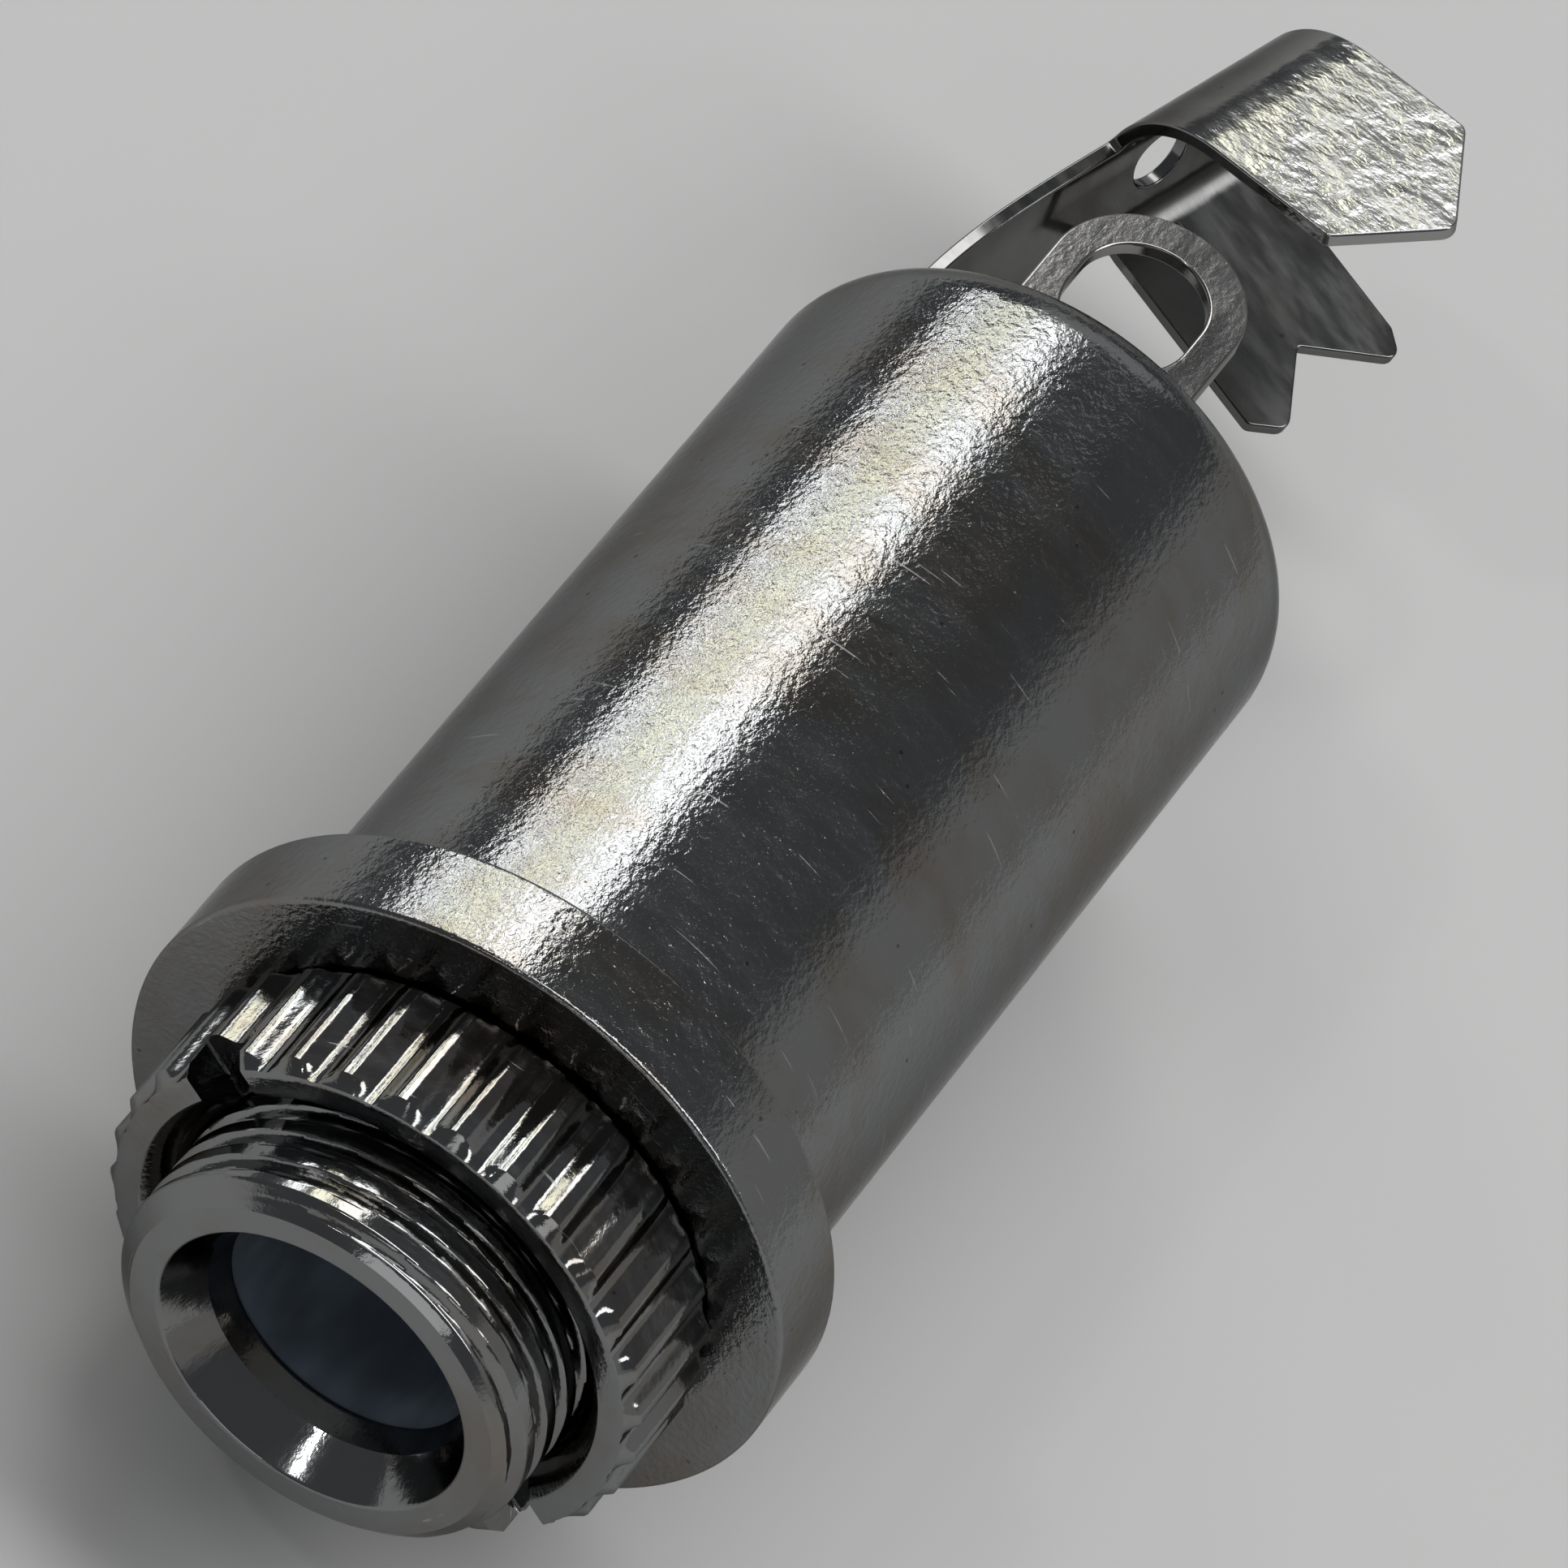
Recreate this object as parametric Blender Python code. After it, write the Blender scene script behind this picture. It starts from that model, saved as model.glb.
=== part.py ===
"""Panel-mounted audio jack socket with a knurled nut, a solder eyelet and a cable clamp.

The plug enters at -Y along the Y axis. The origin is the centre of the flange face that bears on
the panel, +Y runs to the rear and +Z is up as the socket lies, with the tip contact near the top.
Sizes are in millimetres and angles in degrees; every point is turned into metres where its
vertex is made.
"""

import math

import bmesh
import bpy
from mathutils import Matrix, Vector
from mathutils.geometry import delaunay_2d_cdt

MM = 0.001

# Clearances
FIT_GAP = 0.03  # radial, one piece pushed into another
SLIDE_GAP = 0.04  # radial, loose in its seat
SEAT_GAP = 0.03  # axial, between stacked pieces
NUT_GAP = 0.05  # between the flange and a nut run right back

# Round facets
OUTER_SEGMENTS = 72
INNER_SEGMENTS = 48
ARC_STEP = 11.0

# Front bushing
THREAD_R = 3.0
NOSE_LENGTH = 3.45
NOSE_FACE_R = 2.70
NOSE_CHAMFER_LENGTH = 0.26
RELIEF_R = 2.72
RELIEF_LENGTH = 0.45
RELIEF_SLOPE = 0.20
FLANGE_R = 4.909
FLANGE_THICKNESS = 1.388
FLANGE_BEVEL = 0.10
SPIGOT_LENGTH = 3.0
SPIGOT_BEVEL = 0.20
PLUG_BORE_R = 1.80
MOUTH_R = 2.286
LEAD_IN_R = 1.93
LEAD_IN_DEPTH = 0.65
LEAD_IN_STEP = 0.06
LIP_LAND = 0.34

# Mounting nut
NUT_R = 3.99
NUT_THICKNESS = 2.037
NUT_COUNTERSINK = 0.39
NUT_BACK_CHAMFER = 0.15
NUT_FRONT_BEVEL = 0.12
NUT_REAR_BEVEL = 0.20
KNURL_TEETH = 30
KNURL_DEPTH = 0.15
KNURL_PHASE = -6.5
KNURL_CREST_SHARE = 0.44
KNURL_ROOT_SHARE = 0.24
SPANNER_SLOT_WIDTH = 1.0
SPANNER_SLOT_DEPTH = 0.6
SPANNER_SLOT_ANGLE = 118.2

# Barrel
CAN_R = 4.08
CAN_WALL = 0.35
CAN_ROLL_R = 0.894

# Plug guide and liner
GUIDE_PLAY = 0.05
GUIDE_WALL = 0.59
GUIDE_FLANGE_THICKNESS = 1.0
LINER_WALL = 0.25
LINER_LENGTH = 5.62

# Contact block; the pieces on it are laid out upright, then rolled about the Y axis with it
CONTACT_ROLL = 11.7
BLOCK_LENGTH = 3.73
BLOCK_REAR_BEVEL = 0.19
PLUG_END_R = 1.90
PLUG_END_DEPTH = 0.80
CHANNEL_HALF_WIDTH = 1.10
CHANNEL_UNDER_LUG = 0.475
CHANNEL_OVER_LUG = 0.975
BOSS_ROOT = 0.50
CHANNEL_LENGTH = 2.95
BOSS_SIDE_WALL = 0.26
BOSS_FLOOR_WALL = 0.39
BOSS_ROOF_WALL = 0.39
BOSS_STAND = 0.70

# Tip lug
LUG_THICKNESS = 0.25
LUG_HEIGHT = 1.90
LUG_CENTRE_X = -0.131
LUG_HALF_WIDTH = 1.445
LUG_NECK_HALF_WIDTH = 0.90
LUG_SHOULDER_GAP = 0.12
LUG_LENGTH = 3.551
LUG_CORNER_R = 0.35
LUG_TONGUE_CORNER_R = 0.15
EYE_CENTRE_X = -0.144
EYE_R = 0.94
EYE_STRAIGHT = 0.44
EYE_TIP_WALL = 0.587
LUG_TONGUE_HALF_WIDTH = 0.92
LUG_TONGUE_X = 0.0
LUG_TONGUE_LENGTH = 1.75
RIVET_FROM_LUG_END = 0.90

# Tip spring
SPRING_THICKNESS = 0.20
SPRING_HALF_WIDTH = 0.80
SPRING_LIFT = 0.035
SPRING_TAIL = 0.75
SPRING_HINGE_FROM_TAIL = 0.05
SPRING_FLAT = 1.25
SPRING_KNEE_R = 1.0
SPRING_SLOPE = 15.3
SPRING_ARM = 3.633
SPRING_BOW_R = 0.5
SPRING_TOE_RISE = 50.0
SPRING_TOE = 1.268
SPRING_TAIL_CORNER_R = 0.20
SPRING_TOE_CORNER_R = 0.30

# Contact rivet
RIVET_R = 0.30
RIVET_HEAD_R = 0.50
RIVET_HEAD_THICKNESS = 0.18
RIVET_HEAD_LIFT = 0.19
RIVET_HOLE_PLAY = 0.08

# Earth plate and its neck
SHEET = 0.22
PLATE_WINDOW_PLAY = 0.05
PLATE_WINDOW_CORNER_R = 0.2
NECK_ANGLE = 199.9
NECK_HALF_WIDTH = 1.10
NECK_PLAY = 0.045
NECK_BEND_R = 0.30
NECK_RUN = 1.15
NECK_NOTCH_WIDTH = 0.25
NECK_NOTCH_DEPTH = 0.25
CHORD_INSET = 0.10

# Cable clamp
CLAMP_FROM_CAN = 5.43
CLAMP_X = -1.169
CLAMP_Z = -1.676
CLAMP_PITCH = 6.4
CLAMP_YAW = 16.0
CLAMP_ROLL = 1.1
CLAMP_FOLD_R = 0.565
CLAMP_FOLD_TURN = 70.0
CLAMP_WEB = 0.996
CLAMP_ROLL_R = 1.983
CLAMP_ROLL_TURN = 87.0
UPPER_EAR_FORWARD = 0.147
UPPER_EAR_WIDTH = 3.055
UPPER_EAR_FRONT_SIDE = 2.221
UPPER_EAR_REAR_SIDE = 1.887
UPPER_EAR_APEX = 3.253
UPPER_EAR_APEX_ALONG = 1.507
UPPER_EAR_FRONT_R = 0.15
UPPER_EAR_APEX_R = 0.28
UPPER_EAR_REAR_R = 0.25
LOWER_EAR_WIDTH = 2.94
LOWER_EAR_SIDE = 3.02
LOWER_EAR_SKEW = 0.10
LOWER_EAR_CORNER_R = 0.14
LOBE_RISE = 0.37
LOBE_INSET = 0.50
LOBE_R = 0.22
REAR_LOBE_INSET = 0.225
REAR_LOBE_R = 0.18
TAIL_NOTCH_DEPTH = 0.58
TAIL_NOTCH_R = 0.06
EAR_ROOT_R = 0.12
NECK_ROOT_ON_CLAMP = 1.35
CLAMP_HOLE_R = 0.52
CLAMP_HOLE_ALONG = 0.90
CLAMP_HOLE_UP = 1.50

# Finish of each piece: colour, roughness, metallic
FINISHES = {
    "front_bushing": ((0.62, 0.60, 0.55), 0.28, 1.0),
    "mounting_nut": ((0.58, 0.56, 0.51), 0.30, 1.0),
    "barrel_can": ((0.66, 0.64, 0.58), 0.26, 1.0),
    "plug_guide": ((0.015, 0.015, 0.016), 0.45, 0.0),
    "insulating_liner": ((0.02, 0.02, 0.022), 0.55, 0.0),
    "contact_block": ((0.018, 0.018, 0.02), 0.50, 0.0),
    "tip_lug": ((0.64, 0.61, 0.54), 0.30, 1.0),
    "tip_spring": ((0.66, 0.50, 0.30), 0.30, 1.0),
    "contact_rivet": ((0.60, 0.58, 0.52), 0.34, 1.0),
    "earth_clamp": ((0.60, 0.58, 0.53), 0.36, 1.0),
}

# Places that follow from the sizes above
NOSE_Y = -NOSE_LENGTH
LIP_BACK_Y = NOSE_Y + LEAD_IN_DEPTH + LEAD_IN_STEP + LIP_LAND
GUIDE_BORE_R = PLUG_BORE_R + GUIDE_PLAY
GUIDE_R = GUIDE_BORE_R + GUIDE_WALL
RECESS_R = GUIDE_R + FIT_GAP
CAN_BORE_R = CAN_R - CAN_WALL
SPIGOT_R = CAN_BORE_R - FIT_GAP
SPIGOT_END_Y = FLANGE_THICKNESS + SPIGOT_LENGTH
CAN_FRONT_Y = FLANGE_THICKNESS + SEAT_GAP
GUIDE_FLANGE_Y = SPIGOT_END_Y + SEAT_GAP
LINER_Y = GUIDE_FLANGE_Y + GUIDE_FLANGE_THICKNESS + SEAT_GAP
BLOCK_Y = LINER_Y + LINER_LENGTH + SEAT_GAP
BLOCK_END_Y = BLOCK_Y + BLOCK_LENGTH
PLATE_Y = BLOCK_END_Y + SEAT_GAP
PLATE_END_Y = PLATE_Y + SHEET
CAN_END_Y = PLATE_END_Y + SEAT_GAP + CAN_WALL
CAN_OPENING_R = CAN_R - CAN_ROLL_R
BOSS_END_Y = BLOCK_END_Y + BOSS_STAND
CHANNEL_END_Y = BLOCK_Y + CHANNEL_LENGTH
LUG_END_Y = CHANNEL_END_Y - LUG_TONGUE_LENGTH
RIVET_Y = LUG_END_Y + RIVET_FROM_LUG_END
LUG_TOP = LUG_HEIGHT + LUG_THICKNESS / 2
SPRING_HEIGHT = LUG_TOP + SPRING_LIFT + SPRING_THICKNESS / 2
SPRING_TAIL_Y = RIVET_Y + SPRING_TAIL
HINGE_Y = SPRING_TAIL_Y - SPRING_HINGE_FROM_TAIL
NUT_MID_Y = -NUT_GAP - NUT_THICKNESS / 2
CHANNEL_FLOOR = LUG_HEIGHT - LUG_THICKNESS / 2 - CHANNEL_UNDER_LUG
CHANNEL_ROOF = LUG_TOP + CHANNEL_OVER_LUG
BOSS_LEFT = LUG_CENTRE_X - LUG_NECK_HALF_WIDTH - SLIDE_GAP - BOSS_SIDE_WALL
BOSS_RIGHT = LUG_CENTRE_X + LUG_NECK_HALF_WIDTH + SLIDE_GAP + BOSS_SIDE_WALL
BOSS_FLOOR = LUG_HEIGHT - LUG_THICKNESS / 2 - SLIDE_GAP - BOSS_FLOOR_WALL
BOSS_ROOF = LUG_HEIGHT + LUG_THICKNESS / 2 + SLIDE_GAP + BOSS_ROOF_WALL
ROLLED = Matrix.Rotation(math.radians(-CONTACT_ROLL), 3, "Y")


def principled(name, colour, roughness, metallic):
    """Returns a plain Principled material."""
    material = bpy.data.materials.new(name)
    material.use_nodes = True
    shader = material.node_tree.nodes["Principled BSDF"]
    shader.inputs["Base Color"].default_value = (*colour, 1.0)
    shader.inputs["Roughness"].default_value = roughness
    shader.inputs["Metallic"].default_value = metallic
    material.diffuse_color = (*colour, 1.0)
    return material


def add_object(name, mesh_maker, parent, at=(0.0, 0.0, 0.0), sharp=32.0):
    """Turns a bmesh in millimetres into a named object whose origin is at the given point."""
    bmesh.ops.recalc_face_normals(mesh_maker, faces=mesh_maker.faces)
    if mesh_maker.calc_volume(signed=True) < 0.0:
        bmesh.ops.reverse_faces(mesh_maker, faces=mesh_maker.faces)
    mesh_maker.transform(Matrix.Scale(MM, 4) @ Matrix.Translation(-Vector(at)))
    mesh = bpy.data.meshes.new(name)
    mesh_maker.to_mesh(mesh)
    mesh_maker.free()
    mesh.shade_smooth()
    mesh.set_sharp_from_angle(angle=math.radians(sharp))
    if name in FINISHES:
        mesh.materials.append(principled(name, *FINISHES[name]))
    part = bpy.data.objects.new(name, mesh)
    part.location = Vector(at) * MM
    part.parent = parent
    bpy.context.scene.collection.objects.link(part)
    return part


def turned(profile, segments):
    """Spins a (y, r) profile about the Y axis: a closed loop, or a line from axis to axis."""
    maker = bmesh.new()
    verts = [maker.verts.new((0.0, y, r)) for y, r in profile]
    closing = [] if profile[0][1] == 0.0 else [(verts[-1], verts[0])]
    edges = [maker.edges.new(pair) for pair in [*zip(verts, verts[1:]), *closing]]
    bmesh.ops.spin(
        maker,
        geom=verts + edges,
        cent=(0.0, 0.0, 0.0),
        axis=(0.0, 1.0, 0.0),
        angle=2 * math.pi,
        steps=segments,
        use_merge=True,
    )
    bmesh.ops.remove_doubles(maker, verts=maker.verts, dist=0.0001)
    return maker


def box(low, high, turn=Matrix.Identity(3)):
    """Returns a bmesh of the box between two corners, then turned about the origin."""
    maker = bmesh.new()
    size = Vector(high) - Vector(low)
    centre = (Vector(high) + Vector(low)) / 2
    matrix = Matrix.Translation(centre) @ Matrix.Diagonal((*size, 1.0))
    bmesh.ops.create_cube(maker, size=1.0, matrix=turn.to_4x4() @ matrix)
    return maker


def helper(name, maker, parent):
    """Adds a guide body that only shapes another piece."""
    guide = add_object(name, maker, parent)
    guide.hide_render = True
    guide.display_type = "WIRE"
    return guide


def shape_with(part, guide, operation):
    """Cuts the guide body from the piece, or joins it on."""
    modifier = part.modifiers.new(guide.name, "BOOLEAN")
    modifier.operation = operation
    modifier.object = guide


def arc_points(centre, radius, start, end, step=ARC_STEP):
    """Points on a circular arc between two angles, both ends included."""
    count = max(2, math.ceil(abs(end - start) / step))
    angles = [math.radians(start + (end - start) * i / count) for i in range(count + 1)]
    return [(centre[0] + radius * math.cos(a), centre[1] + radius * math.sin(a)) for a in angles]


def rounded(corners, steps=4):
    """Rounds each (x, y, radius) corner of a closed polygon; radius 0 keeps it sharp."""
    points = []
    for i, (x, y, radius) in enumerate(corners):
        here = Vector((x, y))
        if radius <= 0.0:
            points.append(tuple(here))
            continue
        back = (Vector(corners[i - 1][:2]) - here).normalized()
        ahead = (Vector(corners[(i + 1) % len(corners)][:2]) - here).normalized()
        half = back.angle(ahead) / 2
        centre = here + (back + ahead).normalized() * radius / math.sin(half)
        first = here + back * radius / math.tan(half) - centre
        last = here + ahead * radius / math.tan(half) - centre
        turn = first.angle_signed(last)
        for k in range(steps + 1):
            spoke = Matrix.Rotation(-turn * k / steps, 2) @ first
            points.append(tuple(centre + spoke))
    return points


def circle(centre, radius, count=20):
    """A closed loop of points round a hole."""
    turns = [2 * math.pi * i / count for i in range(count)]
    return [(centre[0] + radius * math.cos(t), centre[1] + radius * math.sin(t)) for t in turns]


def is_inside(point, loop):
    """Even-odd test of a point against a closed loop."""
    x, y = point
    odd = False
    for (ax, ay), (bx, by) in zip(loop, loop[1:] + loop[:1]):
        if (ay > y) != (by > y) and x < ax + (y - ay) * (bx - ax) / (by - ay):
            odd = not odd
    return odd


def folded_sheet(outline, holes, bend_lines, place, thickness):
    """Cuts a flat blank, rules it along its bend lines and folds it.

    place(u, v) gives the middle surface's point and its unit normal for a point of the blank.
    """
    points = []
    edges = []
    for loop in [outline, *holes]:
        first = len(points)
        count = len(loop)
        points += [Vector(p) for p in loop]
        edges += [(first + i, first + (i + 1) % count) for i in range(count)]
    for start, end in bend_lines:
        edges.append((len(points), len(points) + 1))
        points += [Vector(start), Vector(end)]
    flat, _, faces, *_ = delaunay_2d_cdt(points, edges, [], 0, 1e-6)
    kept = []
    for face in faces:
        middle = sum((flat[i] for i in face), Vector((0.0, 0.0))) / len(face)
        in_hole = any(is_inside(middle, hole) for hole in holes)
        if is_inside(middle, outline) and not in_hole:
            kept.append(tuple(face))
    maker = bmesh.new()
    pairs = {}
    for i in sorted({i for face in kept for i in face}):
        point, normal = place(*flat[i])
        offset = normal * thickness / 2
        pairs[i] = (maker.verts.new(point + offset), maker.verts.new(point - offset))
    directed = {(a, b) for f in kept for a, b in zip(f, f[1:] + f[:1])}
    for face in kept:
        maker.faces.new([pairs[i][0] for i in face])
        maker.faces.new([pairs[i][1] for i in reversed(face)])
    for a, b in sorted(directed):
        if (b, a) not in directed:
            maker.faces.new((pairs[a][1], pairs[b][1], pairs[b][0], pairs[a][0]))
    return maker


def walk(start, heading, pieces, distance):
    """Walks along lines (length, 0) and arcs (radius, turn); returns the point and heading."""
    x, y = start
    angle = math.radians(heading)
    for i, (size, turn) in enumerate(pieces):
        sweep = math.radians(turn)
        length = size if turn == 0.0 else size * abs(sweep)
        if distance <= length or i == len(pieces) - 1:
            part = distance if turn == 0.0 else distance / size * math.copysign(1.0, turn)
        else:
            part = size if turn == 0.0 else sweep
        if turn == 0.0:
            x += part * math.cos(angle)
            y += part * math.sin(angle)
        else:
            side = math.copysign(size, turn)
            x += side * (math.sin(angle + part) - math.sin(angle))
            y -= side * (math.cos(angle + part) - math.cos(angle))
            angle += part
        if distance <= length:
            break
        distance -= length
    return (x, y), angle


def stations(pieces, step=ARC_STEP):
    """Distances along a walk at which its arcs start, bend and end."""
    found = []
    distance = 0.0
    for size, turn in pieces:
        length = size if turn == 0.0 else size * abs(math.radians(turn))
        if turn != 0.0:
            count = math.ceil(abs(turn) / step)
            found += [distance + length * i / count for i in range(count + 1)]
        distance += length
    return found


def make_bushing(parent):
    """Turned nose, flange and spigot in one piece."""
    nose_back = NOSE_Y + NOSE_CHAMFER_LENGTH
    lead_y = NOSE_Y + LEAD_IN_DEPTH
    profile = [
        (NOSE_Y, MOUTH_R),
        (NOSE_Y, NOSE_FACE_R),
        (nose_back, THREAD_R),
        (-RELIEF_LENGTH, THREAD_R),
        (-RELIEF_LENGTH + RELIEF_SLOPE, RELIEF_R),
        (0.0, RELIEF_R),
        (0.0, FLANGE_R - FLANGE_BEVEL),
        (FLANGE_BEVEL * 0.3, FLANGE_R - FLANGE_BEVEL * 0.3),
        (FLANGE_BEVEL, FLANGE_R),
        (FLANGE_THICKNESS - FLANGE_BEVEL, FLANGE_R),
        (FLANGE_THICKNESS - FLANGE_BEVEL * 0.3, FLANGE_R - FLANGE_BEVEL * 0.3),
        (FLANGE_THICKNESS, FLANGE_R - FLANGE_BEVEL),
        (FLANGE_THICKNESS, SPIGOT_R),
        (SPIGOT_END_Y - SPIGOT_BEVEL, SPIGOT_R),
        (SPIGOT_END_Y, SPIGOT_R - SPIGOT_BEVEL),
        (SPIGOT_END_Y, RECESS_R),
        (LIP_BACK_Y, RECESS_R),
        (LIP_BACK_Y, PLUG_BORE_R),
        (lead_y + LEAD_IN_STEP, PLUG_BORE_R),
        (lead_y, LEAD_IN_R),
    ]
    add_object("front_bushing", turned(profile, OUTER_SEGMENTS), parent)


def make_nut(parent):
    """Round nut with a straight knurl and a spanner slot across its face."""
    front = -NUT_GAP - NUT_THICKNESS
    back = -NUT_GAP
    bore = THREAD_R + SLIDE_GAP
    pitch = 360.0 / KNURL_TEETH
    crest = KNURL_CREST_SHARE * pitch / 2
    root = KNURL_ROOT_SHARE * pitch / 2
    columns = []
    for tooth in range(KNURL_TEETH):
        middle = KNURL_PHASE + tooth * pitch
        columns += [(middle - crest, NUT_R), (middle + crest, NUT_R)]
        columns += [(middle + pitch / 2 - root, NUT_R - KNURL_DEPTH)]
        columns += [(middle + pitch / 2 + root, NUT_R - KNURL_DEPTH)]
    maker = bmesh.new()
    rings = []
    for angle, edge in columns:
        low_edge = min(edge, NUT_R - NUT_REAR_BEVEL)
        profile = [
            (front, bore + NUT_COUNTERSINK),
            (front, min(edge, NUT_R - NUT_FRONT_BEVEL)),
            (front + NUT_FRONT_BEVEL, edge),
            (back - NUT_REAR_BEVEL, edge),
            (back, low_edge),
            (back, bore + NUT_BACK_CHAMFER),
            (back - NUT_BACK_CHAMFER, bore),
            (front + NUT_COUNTERSINK, bore),
        ]
        sine = math.sin(math.radians(angle))
        cosine = math.cos(math.radians(angle))
        rings.append([maker.verts.new((r * sine, y, r * cosine)) for y, r in profile])
    for ring, following in zip(rings, rings[1:] + rings[:1]):
        for i in range(len(ring)):
            k = (i + 1) % len(ring)
            maker.faces.new((ring[i], ring[k], following[k], following[i]))
    centre = (0.0, NUT_MID_Y, 0.0)
    nut = add_object("mounting_nut", maker, parent, centre, sharp=20.0)
    half = SPANNER_SLOT_WIDTH / 2
    reach = NUT_R + 1.0
    turn = Matrix.Rotation(math.radians(SPANNER_SLOT_ANGLE), 3, "Y")
    slot = box((-half, front - 1.0, -reach), (half, front + SPANNER_SLOT_DEPTH, reach), turn)
    shape_with(nut, helper("nut_slot_cutter", slot, parent), "DIFFERENCE")


def make_can(parent):
    """Barrel with its rear edge rolled in over the earth plate."""
    centre = (CAN_END_Y - CAN_ROLL_R, CAN_OPENING_R)
    outer = arc_points(centre, CAN_ROLL_R, 90.0, 0.0)
    inner = arc_points(centre, CAN_ROLL_R - CAN_WALL, 0.0, 90.0, 18.0)
    profile = [(CAN_FRONT_Y, CAN_BORE_R), (CAN_FRONT_Y, CAN_R), *outer, *inner]
    add_object("barrel_can", turned(profile, OUTER_SEGMENTS), parent)


def make_guide(parent):
    """Moulded tube that lines the bushing behind its metal lip."""
    profile = [
        (LIP_BACK_Y + SEAT_GAP, GUIDE_BORE_R),
        (LIP_BACK_Y + SEAT_GAP, GUIDE_R),
        (GUIDE_FLANGE_Y, GUIDE_R),
        (GUIDE_FLANGE_Y, CAN_BORE_R - SLIDE_GAP),
        (GUIDE_FLANGE_Y + GUIDE_FLANGE_THICKNESS, CAN_BORE_R - SLIDE_GAP),
        (GUIDE_FLANGE_Y + GUIDE_FLANGE_THICKNESS, GUIDE_BORE_R),
    ]
    add_object("plug_guide", turned(profile, INNER_SEGMENTS), parent)


def make_liner(parent):
    """Insulating sleeve between the tip spring and the barrel."""
    outer = CAN_BORE_R - FIT_GAP
    profile = [
        (LINER_Y, outer - LINER_WALL),
        (LINER_Y, outer),
        (LINER_Y + LINER_LENGTH, outer),
        (LINER_Y + LINER_LENGTH, outer - LINER_WALL),
    ]
    add_object("insulating_liner", turned(profile, INNER_SEGMENTS), parent)


def make_block(parent):
    """Moulded block that carries the tip lug, with a channel for the spring and a boss."""
    block_r = CAN_BORE_R - SLIDE_GAP
    roll_y = CAN_END_Y - CAN_ROLL_R
    plug_y = BLOCK_Y + PLUG_END_DEPTH
    profile = [
        (plug_y, 0.0),
        (plug_y, PLUG_END_R),
        (BLOCK_Y, PLUG_END_R),
        (BLOCK_Y, block_r),
        (min(roll_y, BLOCK_END_Y - BLOCK_REAR_BEVEL), block_r),
        (BLOCK_END_Y, block_r - BLOCK_REAR_BEVEL),
        (BLOCK_END_Y, 0.0),
    ]
    block = add_object("contact_block", turned(profile, INNER_SEGMENTS), parent)
    low = (BOSS_LEFT, BLOCK_END_Y - BOSS_ROOT, BOSS_FLOOR)
    boss = box(low, (BOSS_RIGHT, BOSS_END_Y, BOSS_ROOF), ROLLED)
    shape_with(block, helper("block_boss", boss, parent), "UNION")
    low = (-CHANNEL_HALF_WIDTH, BLOCK_Y - 0.5, CHANNEL_FLOOR)
    channel = box(low, (CHANNEL_HALF_WIDTH, CHANNEL_END_Y, CHANNEL_ROOF), ROLLED)
    shape_with(block, helper("spring_channel_cutter", channel, parent), "DIFFERENCE")
    half = LUG_NECK_HALF_WIDTH + SLIDE_GAP
    rise = LUG_THICKNESS / 2 + SLIDE_GAP
    low = (LUG_CENTRE_X - half, CHANNEL_END_Y - 3 * SLIDE_GAP, LUG_HEIGHT - rise)
    slot = box(low, (LUG_CENTRE_X + half, BOSS_END_Y + 0.5, LUG_HEIGHT + rise), ROLLED)
    shape_with(block, helper("lug_slot_cutter", slot, parent), "DIFFERENCE")


def make_lug(parent):
    """Flat solder eyelet whose tongue runs through the block to the spring."""
    left = LUG_CENTRE_X - LUG_HALF_WIDTH
    right = LUG_CENTRE_X + LUG_HALF_WIDTH
    neck_left = LUG_CENTRE_X - LUG_NECK_HALF_WIDTH
    neck_right = LUG_CENTRE_X + LUG_NECK_HALF_WIDTH
    tongue_left = LUG_TONGUE_X - LUG_TONGUE_HALF_WIDTH
    tongue_right = LUG_TONGUE_X + LUG_TONGUE_HALF_WIDTH
    shoulder = BOSS_END_Y + LUG_SHOULDER_GAP
    inner_shoulder = CHANNEL_END_Y - SLIDE_GAP
    tip = BOSS_END_Y + LUG_LENGTH
    centre = (LUG_CENTRE_X, tip - LUG_HALF_WIDTH)
    crown = arc_points(centre, LUG_HALF_WIDTH, 0.0, 180.0)
    corners = [
        (tongue_left, LUG_END_Y, LUG_TONGUE_CORNER_R),
        (tongue_right, LUG_END_Y, LUG_TONGUE_CORNER_R),
        (tongue_right, inner_shoulder, 0.0),
        (neck_right, inner_shoulder, 0.0),
        (neck_right, shoulder, 0.0),
        (right, shoulder, LUG_CORNER_R),
        *[(x, y, 0.0) for x, y in crown],
        (left, shoulder, LUG_CORNER_R),
        (neck_left, shoulder, 0.0),
        (neck_left, inner_shoulder, 0.0),
        (tongue_left, inner_shoulder, 0.0),
    ]
    eye_top = tip - EYE_TIP_WALL - EYE_R
    eye = arc_points((EYE_CENTRE_X, eye_top), EYE_R, 0.0, 180.0)
    eye += arc_points((EYE_CENTRE_X, eye_top - EYE_STRAIGHT), EYE_R, 180.0, 360.0)
    rivet_hole = circle((0.0, RIVET_Y), RIVET_R + FIT_GAP)

    def place(x, y):
        return ROLLED @ Vector((x, y, LUG_HEIGHT)), ROLLED @ Vector((0.0, 0.0, 1.0))

    maker = folded_sheet(rounded(corners), [eye, rivet_hole], [], place, LUG_THICKNESS)
    add_object("tip_lug", maker, parent)


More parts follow.
